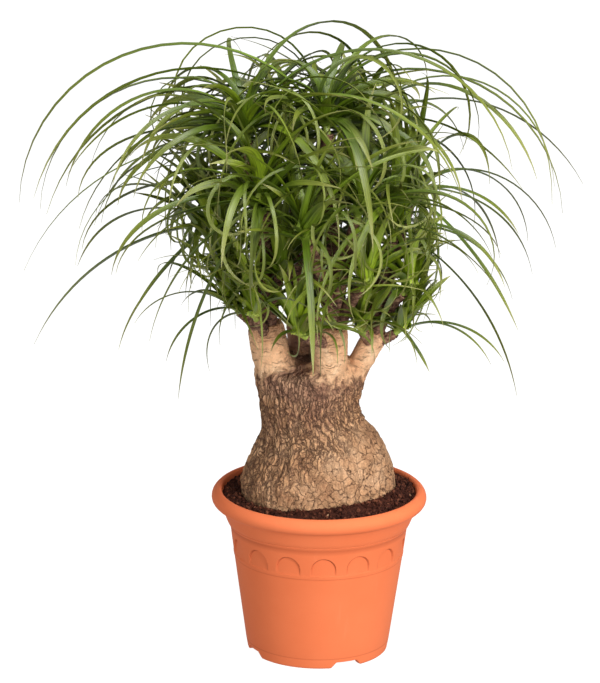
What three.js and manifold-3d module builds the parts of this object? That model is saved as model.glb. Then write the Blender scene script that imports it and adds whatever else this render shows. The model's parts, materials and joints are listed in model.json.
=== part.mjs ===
import * as THREE from 'three';
import Module from 'manifold-3d';

const wasm = await Module();
wasm.setup();

// Every length is in millimetres. The origin is the centre of the pot's underside, +Z is up,
// and the front of the plant looks towards -Y, with +X on its right.

// Pot: an injection-moulded 27 cm nursery pot
const POT_HEIGHT = 210;
const POT_RIM_RADIUS = 135;
const POT_SEGMENTS = 40;
const POT_WALL = 3;
const FOOT_RADIUS = 88;
const FOOT_INNER_RADIUS = 80;
const PAD_RADIUS = 52;
const CHANNEL_HEIGHT = 8;

// Drain holes in the raised channel of the floor
const DRAIN_COUNT = 6;
const DRAIN_RADIUS = 6;
const DRAIN_CIRCLE_RADIUS = 66;

// Notches in the foot ring, measured as angles from the front
const NOTCH_COUNT = 4;
const NOTCH_FIRST = 24.5;
const NOTCH_WIDTH_BOTTOM = 27;
const NOTCH_WIDTH_TOP = 18;
const NOTCH_HEIGHT = 8;

// Band of round-headed niches under the collar
const NICHE_COUNT = 15;
const NICHE_FIRST = 3.3;
const NICHE_HALF_WIDTH = 15.35;
const NICHE_BOTTOM = 129;
const NICHE_TOP = 152.4;
const NICHE_DEPTH = 1.7;
const NICHE_FADE = 0.2;

// Soil
const CLEARANCE = 0.3;
const ROUND_SEGMENTS = 40;
const SOIL_LEVEL = 203;
const SOIL_MOUND = 8;

// Swollen foot of the plant, as rings of height, centre x, centre y, half width and half depth

const TRUNK_RINGS = [
  [182, -1, -2, 96, 85],
  [213, -1, -2, 97, 86],
  [221, -1, -2, 97, 86],
  [231, -0.5, -1, 95, 85],
  [243, 0, 0, 91.6, 82],
  [262, 0, 0, 84.5, 76],
  [272, -0.5, 0, 79.5, 72],
  [281, -1, 0, 74.4, 68],
  [298, -8, 0, 66, 61],
  [306, -11, 0, 64.3, 58.5],
  [315, -13, 0, 63.2, 57],
  [324, -14.5, 0, 61.8, 55.5],
  [345, -16, 0, 64.4, 55],
  [356, -17, 0, 66.6, 56.5],
  [366, -19, 0, 65.5, 56],
  [375, -18, 1, 60, 51],
  [383, -17, 2, 49, 42],
  [388, -16, 3, 32, 27],
];
const TRUNK_TOP = 390;

// Cut-back stumps on the foot: centre line from, to, and radius at each end
const STUMP_SIDES = 11;
const STEM_SIDES = 6;
const STUMPS = {
  left: { from: [-58, -6, 345], to: [-68, -12, 430], radii: [25, 21] },
  middle: { from: [9, -26, 345], to: [15, -41, 434], radii: [25, 18] },
  right: { from: [34, -2, 352], to: [73, -5, 419], radii: [17, 14] },
  back: { from: [-14, 34, 345], to: [-22, 48, 430], radii: [25, 18] },
};

// Leafy heads: name, end of the stem, the stump that carries it, stem radius at both ends,
// number of leaves, shortest and longest leaf, leaf width and the turn of the first leaf
const HEADS = [
  ['leaf_head_01', [-122, 18, 532], 'left', [11, 8], 10, [150, 270], 15, 20],
  ['leaf_head_02', [-92, -28, 662], 'left', [12, 8], 10, [120, 250], 16, 75],
  ['leaf_head_03', [-73, -84, 590], 'left', [13, 9], 11, [130, 260], 16, 140],
  ['leaf_head_04', [-39, 60, 612], 'back', [10, 8], 10, [130, 270], 15, 10],
  ['leaf_head_05', [4, -20, 672], 'middle', [12, 9], 11, [120, 260], 16, 200],
  ['leaf_head_06', [42, -76, 578], 'middle', [10, 8], 11, [130, 260], 15, 310],
  ['leaf_head_07', [-18, -104, 556], 'middle', [9, 8], 10, [130, 260], 15, 80],
  ['leaf_head_08', [86, -26, 540], 'right', [10, 8], 11, [150, 280], 14, 250],
  ['leaf_head_09', [-84, 108, 560], 'back', [11, 8], 10, [150, 300], 15, 60],
  ['leaf_head_10', [40, 104, 618], 'back', [11, 8], 10, [140, 280], 15, 170],
  ['leaf_head_11', [108, 62, 560], 'right', [11, 8], 10, [150, 290], 14, 290],
  ['leaf_sprout_01', [-101, -30, 447], 'left', [8, 6], 7, [110, 210], 11, 0],
  ['leaf_sprout_02', [-80, -58, 446], 'left', [8, 6], 7, [100, 190], 11, 45],
  ['leaf_sprout_03', [-19, -76, 430], 'middle', [8, 7], 8, [110, 200], 13, 130],
  ['leaf_sprout_04', [52, -36, 424], 'right', [7, 6], 7, [90, 170], 10, 200],
  ['leaf_sprout_05', [92, -16, 418], 'right', [8, 6], 7, [110, 230], 11, 280],
  ['leaf_sprout_06', [48, -66, 488], 'middle', [8, 7], 7, [110, 210], 13, 70],
  ['leaf_sprout_07', [-52, -56, 500], 'left', [8, 7], 7, [110, 210], 13, 160],
  ['leaf_sprout_08', [100, -34, 474], 'right', [8, 7], 7, [120, 240], 13, 240],
  ['leaf_sprout_09', [-112, -16, 496], 'left', [8, 7], 7, [120, 240], 13, 330],
  ['leaf_sprout_10', [64, 46, 492], 'right', [8, 7], 6, [120, 230], 13, 30],
  ['leaf_sprout_11', [-8, 92, 484], 'back', [8, 7], 6, [120, 230], 13, 110],
].map(([name, at, on, stem, leaves, reach, width, turn]) => ({
  name, at, on, stem, leaves, reach, width, turn,
}));
const CORE_SIDES = 5;
const CORE_LENGTH = 32;
const SPROUT_CORE_LENGTH = 20;

// Long leaves that draw the outline: head, tip, lean at the tip in degrees from upright,
// how late the leaf bends, and width
const LONG_LEAVES = [
  ['leaf_head_05', [-372, -30, 584], 178, 0.95, 10],
  ['leaf_head_04', [-350, 30, 560], 178, 0.9, 9],
  ['leaf_head_01', [-315, -50, 546], 176, 0.6, 9],
  ['leaf_head_02', [-312, -80, 618], 168, 0.7, 9],
  ['leaf_head_01', [-358, 20, 388], 156, 0.9, 12],
  ['leaf_head_01', [-307, 90, 470], 160, 1.0, 10],
  ['leaf_head_09', [-330, 60, 600], 172, 0.6, 10],
  ['leaf_head_01', [-238, -60, 440], 145, 0.8, 10],
  ['leaf_head_03', [-208, -150, 445], 168, 1.0, 10],
  ['leaf_head_03', [-174, -120, 362], 174, 0.9, 9],
  ['leaf_sprout_01', [-190, -80, 398], 165, 1.0, 8],
  ['leaf_sprout_01', [-230, -50, 437], 150, 1.0, 8],
  ['leaf_sprout_01', [-174, 10, 444], 150, 1.0, 8],
  ['leaf_head_01', [-192, 40, 466], 172, 1.1, 9],
  ['leaf_head_03', [-223, -130, 539], 150, 1.0, 10],
  ['leaf_head_10', [324, 60, 592], 150, 0.7, 10],
  ['leaf_head_04', [295, -20, 575], 176, 0.95, 10],
  ['leaf_head_02', [230, -60, 640], 170, 0.95, 10],
  ['leaf_head_08', [269, -60, 562], 176, 0.6, 9],
  ['leaf_head_11', [260, 110, 503], 176, 0.65, 9],
  ['leaf_head_08', [223, -90, 500], 160, 1.0, 9],
  ['leaf_head_06', [204, -140, 553], 155, 1.0, 9],
  ['leaf_sprout_05', [209, -70, 395], 150, 0.9, 8],
  ['leaf_sprout_05', [228, -20, 383], 150, 0.9, 8],
  ['leaf_head_08', [245, -10, 336], 168, 0.8, 9],
  ['leaf_sprout_05', [134, -60, 381], 140, 1.0, 7],
  ['leaf_head_11', [246, 20, 412], 155, 0.9, 9],
  ['leaf_head_05', [140, -80, 660], 165, 0.8, 11],
  ['leaf_head_05', [-120, -60, 700], 165, 0.8, 11],
  ['leaf_head_05', [90, 20, 720], 170, 0.9, 10],
  ['leaf_head_02', [-220, -100, 650], 168, 0.7, 11],
  ['leaf_head_02', [-200, 20, 700], 160, 0.7, 11],
  ['leaf_head_05', [60, -190, 570], 174, 0.8, 12],
  ['leaf_head_03', [-120, -230, 560], 174, 0.8, 12],
  ['leaf_head_07', [-10, -240, 430], 168, 1.0, 11],
  ['leaf_head_10', [180, 190, 600], 168, 0.8, 10],
  ['leaf_head_10', [30, 310, 520], 168, 1.0, 10],
  ['leaf_head_09', [-160, 290, 470], 168, 1.0, 10],
  ['leaf_head_11', [230, 220, 450], 165, 1.0, 10],
  ['leaf_head_04', [-100, 250, 640], 168, 0.8, 10],
  ['leaf_head_04', [60, 30, 700], 172, 1.2, 10],
  ['leaf_head_10', [-90, 30, 720], 165, 1.2, 10],
  ['leaf_head_02', [-262, -40, 600], 165, 0.8, 10],
  ['leaf_head_09', [-275, 40, 540], 170, 0.8, 10],
  ['leaf_head_10', [262, -30, 620], 160, 0.8, 10],
  ['leaf_head_11', [290, 20, 520], 168, 0.8, 9],
  ['leaf_head_08', [235, -40, 470], 165, 0.9, 9],
  ['leaf_head_05', [170, -60, 600], 172, 0.9, 10],
  ['leaf_head_02', [98, 60, 675], 178, 0.8, 11],
  ['leaf_head_05', [190, 40, 650], 188, 0.95, 11],
  ['leaf_head_04', [-170, 60, 640], 190, 1.0, 10],
];

// Crown that the leaves of the rule stay inside: its centre, half sizes and highest point.
// Each leaf has a little more or less room in it, so that its outline is loose.
const CROWN_CENTRE = [-10, 0, 572];
const CROWN_HALF = [250, 235, 228];
const CROWN_FULLNESS = 2.1;
const CROWN_TOP = 792;

// How a blade that would touch another head is bent clear
const TRIES = 60;
const CLEAR_MARGIN = 0.8;
const GOLDEN_ANGLE = 137.5;

// How closely each surface keeps to its full form, and the shortest edge between leaf roots
const POT_TOLERANCE = 0.08;
const TRUNK_TOLERANCE = 0.25;
const HEAD_TOLERANCE = 0.1;
const SHORTEST_EDGE = 0.15;
const DEGREE = Math.PI / 180;

// Park-Miller draws, so that every run grows the same plant
let seed = 20977;
function draw() {
  seed = (seed * 16807) % 2147483647;
  return (seed - 1) / 2147483646;
}

const add = (a, b) => [a[0] + b[0], a[1] + b[1], a[2] + b[2]];
const sub = (a, b) => [a[0] - b[0], a[1] - b[1], a[2] - b[2]];
const mul = (a, s) => [a[0] * s, a[1] * s, a[2] * s];
const dot = (a, b) => a[0] * b[0] + a[1] * b[1] + a[2] * b[2];
const cross = (a, b) => [a[1] * b[2] - a[2] * b[1], a[2] * b[0] - a[0] * b[2], a[0] * b[1] - a[1] * b[0]];
const unit = (a) => mul(a, 1 / Math.hypot(...a));
const mix = (a, b, t) => add(mul(a, 1 - t), mul(b, t));

// Triangles of a body drawn as rings of equally many points, each counter-clockwise
// as seen from the next one. An end is closed to its own centre or to a given point.
function loft(rings, startPoint, endPoint) {
  const points = rings.flat();
  const sides = rings[0].length;
  const triangles = [];
  for (let ring = 0; ring < rings.length - 1; ring++) {
    for (let side = 0; side < sides; side++) {
      const next = (side + 1) % sides;
      const low = ring * sides;
      const high = low + sides;
      triangles.push([low + side, low + next, high + next], [low + side, high + next, high + side]);
    }
  }
  const last = (rings.length - 1) * sides;
  const start = points.push(startPoint ?? centreOf(rings[0])) - 1;
  const end = points.push(endPoint ?? centreOf(rings[rings.length - 1])) - 1;
  for (let side = 0; side < sides; side++) {
    const next = (side + 1) % sides;
    triangles.push([start, next, side], [last + side, last + next, end]);
  }
  return { points, triangles };
}

function centreOf(ring) {
  return mul(ring.reduce(add), 1 / ring.length);
}

function toSolid({ points, triangles }) {
  return new wasm.Manifold(new wasm.Mesh({
    numProp: 3,
    vertProperties: new Float32Array(points.flat()),
    triVerts: new Uint32Array(triangles.flat()),
  }));
}

function toMesh(name, solid, colour, roughness) {
  const mesh = solid.getMesh();
  const geometry = new THREE.BufferGeometry();
  geometry.setAttribute('position', new THREE.BufferAttribute(mesh.vertProperties, 3));
  geometry.setIndex(new THREE.BufferAttribute(mesh.triVerts, 1));
  geometry.computeVertexNormals();
  const material = new THREE.MeshStandardMaterial({ color: colour, roughness, metalness: 0 });
  const node = new THREE.Mesh(geometry, material);
  node.name = name;
  return node;
}

// A point at an angle from the front, turning towards +X
function around(radius, degrees, height) {
  return [radius * Math.sin(degrees * DEGREE), -radius * Math.cos(degrees * DEGREE), height];
}

function lathe(profile, segments) {
  const ringAt = ([radius, height]) =>
    Array.from({ length: segments }, (_, i) => around(radius, (i * 360) / segments, height));
  const inner = profile.slice(1, -1).map(ringAt);
  return loft(inner, [0, 0, profile[0][1]], [0, 0, profile[profile.length - 1][1]]);
}

// Outside radius of the pot's plain wall at a height
function wallRadius(height) {
  const lowKink = [13, 90.4];
  const band = [137.7, 108.1];
  const top = [164, 111.5];
  const [from, to] = height < band[0] ? [lowKink, band] : [band, top];
  return from[1] + ((to[1] - from[1]) * (height - from[0])) / (to[0] - from[0]);
}

function makePot() {
  const collar = 166;
  const outside = [
    [0, 0],
    [PAD_RADIUS, 0],
    [PAD_RADIUS + 1, CHANNEL_HEIGHT],
    [FOOT_INNER_RADIUS - 1, CHANNEL_HEIGHT],
    [FOOT_INNER_RADIUS, 0],
    [FOOT_RADIUS, 0],
    [wallRadius(13), 13],
    [wallRadius(137.7), 137.7],
    [wallRadius(163.4), 163.4],
    [wallRadius(163.4) + 1.4, collar],
    [117, 174],
    [124.5, 189],
    [133, 192.5],
    [POT_RIM_RADIUS, 198.5],
    [132, 207],
    [126, POT_HEIGHT],
    [122, POT_HEIGHT - 5],
  ];
  const inside = [
    [117 - POT_WALL, 172],
    [wallRadius(160) - POT_WALL, 160],
    [wallRadius(20) - POT_WALL, CHANNEL_HEIGHT + POT_WALL],
    [PAD_RADIUS - 1, CHANNEL_HEIGHT + POT_WALL],
    [PAD_RADIUS - 3, POT_WALL],
    [0, POT_WALL],
  ];
  let pot = toSolid(lathe([...outside, ...inside], POT_SEGMENTS));

  const cutters = [];
  for (let i = 0; i < NICHE_COUNT; i++) cutters.push(nicheCutter(NICHE_FIRST + (i * 360) / NICHE_COUNT));
  for (let i = 0; i < NOTCH_COUNT; i++) cutters.push(notchCutter(NOTCH_FIRST + (i * 360) / NOTCH_COUNT));
  for (let i = 0; i < DRAIN_COUNT; i++) cutters.push(drainCutter((i * 360) / DRAIN_COUNT));
  for (const cutter of cutters) pot = pot.subtract(cutter);
  return pot.simplify(POT_TOLERANCE);
}

// A niche fades out at its foot and is deepest under its round head
function nicheCutter(centre) {
  const spring = NICHE_TOP - NICHE_HALF_WIDTH;
  const outline = [[-NICHE_HALF_WIDTH, NICHE_BOTTOM], [NICHE_HALF_WIDTH, NICHE_BOTTOM]];
  const arcSteps = 5;
  for (let i = 0; i <= arcSteps; i++) {
    const angle = (Math.PI * i) / arcSteps;
    outline.push([NICHE_HALF_WIDTH * Math.cos(angle), spring + NICHE_HALF_WIDTH * Math.sin(angle)]);
  }
  const place = (outward) => ([across, height]) => {
    const radius = wallRadius(height);
    const depth = (NICHE_DEPTH * (height - NICHE_BOTTOM)) / (NICHE_TOP - NICHE_BOTTOM) - NICHE_FADE;
    return around(outward ? radius + 6 : radius - depth, centre + across / radius / DEGREE, height);
  };
  const middle = [0, (NICHE_BOTTOM + NICHE_TOP) / 2];
  const rings = [outline.map(place(false)), outline.map(place(true))];
  return toSolid(loft(rings, place(false)(middle), place(true)(middle)));
}

function notchCutter(centre) {
  const below = -1;
  const outline = [
    [-NOTCH_WIDTH_BOTTOM / 2, below],
    [NOTCH_WIDTH_BOTTOM / 2, below],
    [NOTCH_WIDTH_TOP / 2, NOTCH_HEIGHT],
    [-NOTCH_WIDTH_TOP / 2, NOTCH_HEIGHT],
  ];
  const ringAt = (radius) => outline.map(([across, height]) => around(radius, centre + across, height));
  return toSolid(loft([ringAt(FOOT_INNER_RADIUS - 6), ringAt(FOOT_RADIUS + 8)]));
}

function drainCutter(centre) {
  const hub = around(DRAIN_CIRCLE_RADIUS, centre, 0);
  const ringAt = (height) =>
    Array.from({ length: 6 }, (_, i) => add(hub, around(DRAIN_RADIUS, i * 60, height)));
  return toSolid(loft([ringAt(CHANNEL_HEIGHT - 2), ringAt(CHANNEL_HEIGHT + POT_WALL + 2)]));
}

// Ring values of the swollen foot at any height, read between its named rings
function trunkRing(height) {
  const last = TRUNK_RINGS.length - 1;
  let i = 0;
  while (i < last - 1 && TRUNK_RINGS[i + 1][0] < height) i++;
  const [low, high] = [TRUNK_RINGS[i], TRUNK_RINGS[i + 1]];
  const t = Math.min(1, Math.max(0, (height - low[0]) / (high[0] - low[0])));
  return low.map((value, k) => value + (high[k] - value) * t);
}

// Lobes of the foot and the ridges of its bark, as a share of the radius and in millimetres
function barkLobes(angle, height) {
  const lift = Math.min(1, Math.max(0, (height - 213) / 40));
  const lobes = 0.018 * Math.cos(3 * angle + 0.6) + 0.012 * Math.cos(5 * angle - height / 60);
  return lobes * (0.4 + 0.6 * lift);
}

function barkRidges(angle, height) {
  const lift = Math.min(1, Math.max(0, (height - 213) / 16));
  const ridges = 1.1 * Math.sin(13 * angle + 1.2 * Math.sin(height / 17) + height / 40);
  const plates = 0.9 * Math.sin(height / 5.5 + 2.2 * Math.sin(4 * angle + height / 31));
  return lift * (ridges + plates);
}

function trunkPoint(angle, height, grow = 0) {
  const [, centreX, centreY, halfWidth, halfDepth] = trunkRing(height);
  const lobe = 1 + barkLobes(angle, height);
  const relief = barkRidges(angle, height) + grow;
  return [
    centreX + (halfWidth * lobe + relief) * Math.cos(angle),
    centreY + (halfDepth * lobe + relief) * Math.sin(angle),
    height,
  ];
}

function makeTrunkFoot() {
  const step = (2 * Math.PI) / ROUND_SEGMENTS;
  const rings = TRUNK_RINGS.map(([height]) =>
    Array.from({ length: ROUND_SEGMENTS }, (_, i) => trunkPoint(step * i, height)));
  const [, bottomX, bottomY] = TRUNK_RINGS[0];
  const [, topX, topY] = TRUNK_RINGS[TRUNK_RINGS.length - 1];
  return loft(rings, [bottomX, bottomY, TRUNK_RINGS[0][0]], [topX, topY, TRUNK_TOP]);
}

// Soil surface: low at the front left, mounded against the plant, with crumbs
function soilHeight(angle, share) {
  const mound = SOIL_MOUND * (1 - share) * (0.55 + 0.45 * Math.cos(angle - 0.5));
  const crumbs = 0.8 * Math.sin(7 * angle + 9 * share) * Math.sin(11 * share + 3 * angle);
  return SOIL_LEVEL + mound + crumbs;
}

function makeSoil() {
  const angleAt = (i) => (2 * Math.PI * i) / ROUND_SEGMENTS;
  const ring = (place) => Array.from({ length: ROUND_SEGMENTS }, (_, i) => place(angleAt(i)));
  const onCircle = (radius, height) => (angle) =>
    [radius * Math.cos(angle), radius * Math.sin(angle), height];
  const holeGrow = 2 * CLEARANCE + 0.4;
  const floor = POT_WALL + CLEARANCE;
  const shelf = CHANNEL_HEIGHT + POT_WALL + CLEARANCE;
  const wall = (height) => wallRadius(height) - POT_WALL - 2 * CLEARANCE;
  const edge = 122 - 3 * CLEARANCE;
  const surface = (share) => (angle) => {
    const height = soilHeight(angle, share);
    const hole = trunkPoint(angle, height, holeGrow);
    const rim = [edge * Math.cos(angle), edge * Math.sin(angle)];
    return [hole[0] + (rim[0] - hole[0]) * share, hole[1] + (rim[1] - hole[1]) * share, height];
  };
  const pit = TRUNK_RINGS[0][0] - CLEARANCE;
  const rings = [
    ring(onCircle(PAD_RADIUS - 3.6, floor)),
    ring(onCircle(PAD_RADIUS - 1.6, shelf)),
    ring(onCircle(wall(20), shelf)),
    ring(onCircle(wall(160), 160)),
    ring(onCircle(117 - POT_WALL - 2 * CLEARANCE, 172)),
    ring((angle) => [edge * Math.cos(angle), edge * Math.sin(angle), soilHeight(angle, 1)]),
    ring(surface(0.75)),
    ring(surface(0.5)),
    ring(surface(0.25)),
    ring(surface(0)),
    ring((angle) => trunkPoint(angle, pit, holeGrow)),
  ];
  return loft(rings, [0, 0, floor], [-1, 0, pit]);
}

// Rings of a round stem along a line of points
function stemRings(line, radii, sides) {
  const rings = [];
  let across = null;
  line.forEach((point, i) => {
    const before = line[Math.max(0, i - 1)];
    const after = line[Math.min(line.length - 1, i + 1)];
    const along = unit(sub(after, before));
    across = unit(cross(along, across ? cross(across, along) : [0, 1, 0]));
    const up = cross(along, across);
    const radius = radii[0] + ((radii[1] - radii[0]) * i) / (line.length - 1);
    rings.push(Array.from({ length: sides }, (_, k) => {
      const turn = (2 * Math.PI * k) / sides;
      return add(point, add(mul(across, radius * Math.cos(turn)), mul(up, radius * Math.sin(turn))));
    }));
  });
  return rings;
}

// A stem rises out of its stump and bends out to its head
function stemLine(head) {
  const stump = STUMPS[head.on];
  const sprout = head.name.includes('sprout');
  const start = mix(stump.from, stump.to, sprout ? 0.72 : 0.9);
  const rise = sprout ? 8 : 0.55 * (head.at[2] - start[2]);
  const bend = mix(start, head.at, sprout ? 0.7 : 0.3);
  bend[2] = sprout ? head.at[2] - rise : start[2] + rise;
  const steps = sprout ? 2 : 3;
  return Array.from({ length: steps + 1 }, (_, i) => {
    const t = i / steps;
    return mix(mix(start, bend, t), mix(bend, head.at, t), t);
  });
}

// Centre line of a leaf: its lean from upright grows along it, in one vertical plane
// that may drift sideways
function leafLine(leaf, count) {
  const line = [];
  const steps = 60;
  let point = leaf.root;
  for (let i = 0; i <= steps; i++) {
    if ((i * count) % steps === 0) line.push({ point, ...leafFrame(leaf, i / steps) });
    const middle = (i + 0.5) / steps;
    point = add(point, mul(leafFrame(leaf, middle).along, leaf.length / steps));
  }
  return line;
}

function leafFrame(leaf, share) {
  const lean = (leaf.lean + (leaf.droop - leaf.lean) * share ** leaf.bend) * DEGREE;
  const azimuth = (leaf.azimuth + leaf.drift * share * share) * DEGREE;
  const along = [Math.sin(lean) * Math.cos(azimuth), Math.sin(lean) * Math.sin(azimuth), Math.cos(lean)];
  const face = [-Math.cos(lean) * Math.cos(azimuth), -Math.cos(lean) * Math.sin(azimuth), Math.sin(lean)];
  const side = [-Math.sin(azimuth), Math.cos(azimuth), 0];
  const roll = leaf.twist * share * DEGREE;
  return {
    along,
    side: add(mul(side, Math.cos(roll)), mul(face, Math.sin(roll))),
    face: add(mul(face, Math.cos(roll)), mul(side, -Math.sin(roll))),
  };
}

// Width of a leaf along it, as a share of its widest
function leafShare(share) {
  if (share < 0.15) return 0.4 + 4 * share;
  return Math.max(0.12, 1 - 1.02 * ((share - 0.15) / 0.85) ** 1.7);
}

function bladeSteps(leaf) {
  if (leaf.tip && leaf.length > 250) return 5;
  return leaf.length > 240 ? 4 : 3;
}

// A keeled strap of three sides that ends in a point
function bladeBody(leaf, margin = 0) {
  const count = bladeSteps(leaf);
  const line = leafLine(leaf, count);
  const rings = line.slice(0, -1).map(({ point, side, face }, i) => {
    const half = (leaf.width * leafShare(i / count)) / 2 + margin;
    const keel = Math.max(0.9, 0.2 * half) + margin;
    const raise = 0.3 * half + margin;
    return [
      add(point, add(mul(side, half), mul(face, raise))),
      add(point, add(mul(side, -half), mul(face, raise))),
      add(point, mul(face, -keel)),
    ];
  });
  return loft(rings, centreOf(rings[0]), line[count].point);
}

function cornersOf({ points, triangles }) {
  const faces = triangles.map((triangle) => triangle.map((i) => points[i]));
  return { faces, boxes: faces.map(boxOf), box: boxOf(faces.flat()) };
}

// The part of a blade past its first step, where it should also miss its own neighbours
function pastRoot({ points, triangles }) {
  return cornersOf({ points, triangles: triangles.filter((triangle) => Math.min(...triangle) >= 3) });
}

function boxOf(points) {
  const low = [Infinity, Infinity, Infinity];
  const high = [-Infinity, -Infinity, -Infinity];
  for (const point of points) {
    for (let k = 0; k < 3; k++) {
      low[k] = Math.min(low[k], point[k]);
      high[k] = Math.max(high[k], point[k]);
    }
  }
  return { low, high };
}

function boxesMeet(a, b) {
  for (let k = 0; k < 3; k++) if (a.low[k] > b.high[k] || b.low[k] > a.high[k]) return false;
  return true;
}

function edgeCrosses(start, end, [a, b, c]) {
  const ray = sub(end, start);
  const edge1 = sub(b, a);
  const edge2 = sub(c, a);
  const p = cross(ray, edge2);
  const det = dot(edge1, p);
  if (Math.abs(det) < 1e-9) return false;
  const from = sub(start, a);
  const u = dot(from, p) / det;
  if (u < 0 || u > 1) return false;
  const q = cross(from, edge1);
  const v = dot(ray, q) / det;
  if (v < 0 || u + v > 1) return false;
  const t = dot(edge2, q) / det;
  return t >= 0 && t <= 1;
}

function facesCross(first, second) {
  for (let k = 0; k < 3; k++) {
    const next = (k + 1) % 3;
    if (edgeCrosses(first[k], first[next], second)) return true;
    if (edgeCrosses(second[k], second[next], first)) return true;
  }
  return false;
}

function bodiesCross(first, second) {
  if (!boxesMeet(first.box, second.box)) return false;
  for (let i = 0; i < first.faces.length; i++) {
    if (!boxesMeet(first.boxes[i], second.box)) continue;
    for (let j = 0; j < second.faces.length; j++) {
      if (!boxesMeet(first.boxes[i], second.boxes[j])) continue;
      if (facesCross(first.faces[i], second.faces[j])) return true;
    }
  }
  return false;
}

// The other way that a leaf may take: turned, bent more or less, and a little shorter
function bentClear(leaf, attempt) {
  const swing = Math.ceil(attempt / 2) * (attempt % 2 ? 1 : -1);
  if (leaf.tip) {
    const shift = 9 * swing;
    const tip = [leaf.tip[0], leaf.tip[1] + shift, leaf.tip[2] - 0.3 * shift];
    return reachTip({ ...leaf, tip });
  }
  return {
    ...leaf,
    azimuth: leaf.azimuth + 5.3 * swing,
    lean: Math.max(3, leaf.lean + 4 * (((attempt * 7) % 5) - 2)),
    droop: leaf.droop + 7 * (((attempt * 3) % 5) - 2),
    length: leaf.length * (1 - 0.009 * attempt),
  };
}

// Sets a leaf's first lean and its length so that it ends at its tip
function reachTip(leaf) {
  const [dx, dy, dz] = sub(leaf.tip, leaf.root);
  const flat = Math.hypot(dx, dy);
  const solved = { ...leaf, azimuth: Math.atan2(dy, dx) / DEGREE, drift: 0 };
  const endOf = (lean) => {
    const flatLeaf = { ...solved, root: [0, 0, 0], azimuth: 0, length: 1, lean };
    const [across, , rise] = leafLine(flatLeaf, 1)[1].point;
    return { turn: Math.atan2(across, rise), size: Math.hypot(across, rise) };
  };
  const wanted = Math.atan2(flat, dz);
  let [low, high] = [-60, 170];
  for (let i = 0; i < 30; i++) {
    const middle = (low + high) / 2;
    if (endOf(middle).turn < wanted) low = middle;
    else high = middle;
  }
  solved.lean = (low + high) / 2;
  solved.length = Math.hypot(flat, dz) / endOf(solved.lean).size;
  return solved;
}

// Leaves of a head by the golden angle: young ones upright inside, old ones drooping outside
function ruledLeaf(head, rank) {
  const age = (rank + 0.5) / head.leaves;
  const [shortest, longest] = head.reach;
  const prime = Math.sin(Math.PI * (0.1 + 0.75 * age));
  return {
    azimuth: head.turn + rank * GOLDEN_ANGLE + 16 * (draw() - 0.5),
    lean: 2 + 66 * age + 18 * (draw() - 0.5),
    droop: 62 + 55 * age + 105 * draw(),
    bend: 0.8 + 0.8 * draw(),
    room: 0.8 + 0.32 * draw(),
    drift: 130 * (draw() - 0.5),
    twist: 150 * (draw() - 0.5),
    length: shortest + (longest - shortest) * Math.min(1, 0.1 + 1.3 * prime * (0.5 + 0.5 * draw())),
    width: head.width * (0.75 + 0.35 * draw()),
    height: 0.85 - 0.65 * age,
  };
}

function insideCrown(body, room) {
  const share = (point, k) =>
    Math.abs((point[k] - CROWN_CENTRE[k]) / CROWN_HALF[k] / room) ** CROWN_FULLNESS;
  return body.points.every((point) =>
    point[2] < CROWN_TOP && share(point, 0) + share(point, 1) + share(point, 2) < 1);
}

function leafRoot(head, leaf) {
  const radial = [Math.cos(leaf.azimuth * DEGREE), Math.sin(leaf.azimuth * DEGREE), 0];
  return add(head.foot, add(mul(head.along, head.core * leaf.height), mul(radial, 2.2)));
}

function growHeads(obstacle) {
  const heads = HEADS.map((head) => {
    const line = stemLine(head);
    const along = unit(sub(line[line.length - 1], line[line.length - 2]));
    const core = head.name.includes('sprout') ? SPROUT_CORE_LENGTH : CORE_LENGTH;
    const foot = add(head.at, mul(along, CLEARANCE));
    const radius = head.stem[1] * 0.95;
    const coreLine = [foot, add(foot, mul(along, core))];
    const body = loft(stemRings(coreLine, [radius, radius * 0.35], CORE_SIDES));
    return { ...head, along, core, foot, body, bodies: [cornersOf(body)], outer: [], blades: [] };
  });
  const byName = Object.fromEntries(heads.map((head) => [head.name, head]));

  const plan = LONG_LEAVES.map(([name, tip, droop, bend, width], i) => {
    const head = byName[name];
    const toTip = Math.atan2(tip[1] - head.at[1], tip[0] - head.at[0]) / DEGREE;
    const twist = 30 * ((i % 3) - 1);
    return { head, leaf: { tip, droop, bend, width, azimuth: toTip, twist, height: 0.45 } };
  });
  const mostLeaves = Math.max(...heads.map((head) => head.leaves));
  for (let rank = 0; rank < mostLeaves; rank++) {
    for (const head of heads) if (rank < head.leaves) plan.push({ head, leaf: ruledLeaf(head, rank) });
  }

  for (const { head, leaf } of plan) {
    const others = [obstacle, ...heads.filter((other) => other !== head).flatMap((other) => other.bodies)];
    for (let attempt = 0; attempt < TRIES; attempt++) {
      const rooted = { ...leaf, root: leafRoot(head, leaf) };
      const bent = bentClear(rooted, attempt);
      const fat = bladeBody(bent, CLEAR_MARGIN);
      const all = cornersOf(fat);
      if (others.some((other) => bodiesCross(all, other))) continue;
      const blade = bladeBody(bent);
      if (!leaf.tip && !insideCrown(blade, leaf.room)) continue;
      const outer = pastRoot(blade);
      if (head.outer.some((other) => bodiesCross(outer, other))) continue;
      head.blades.push(blade);
      head.bodies.push(cornersOf(blade));
      head.outer.push(outer);
      break;
    }
  }
  return heads;
}

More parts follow.
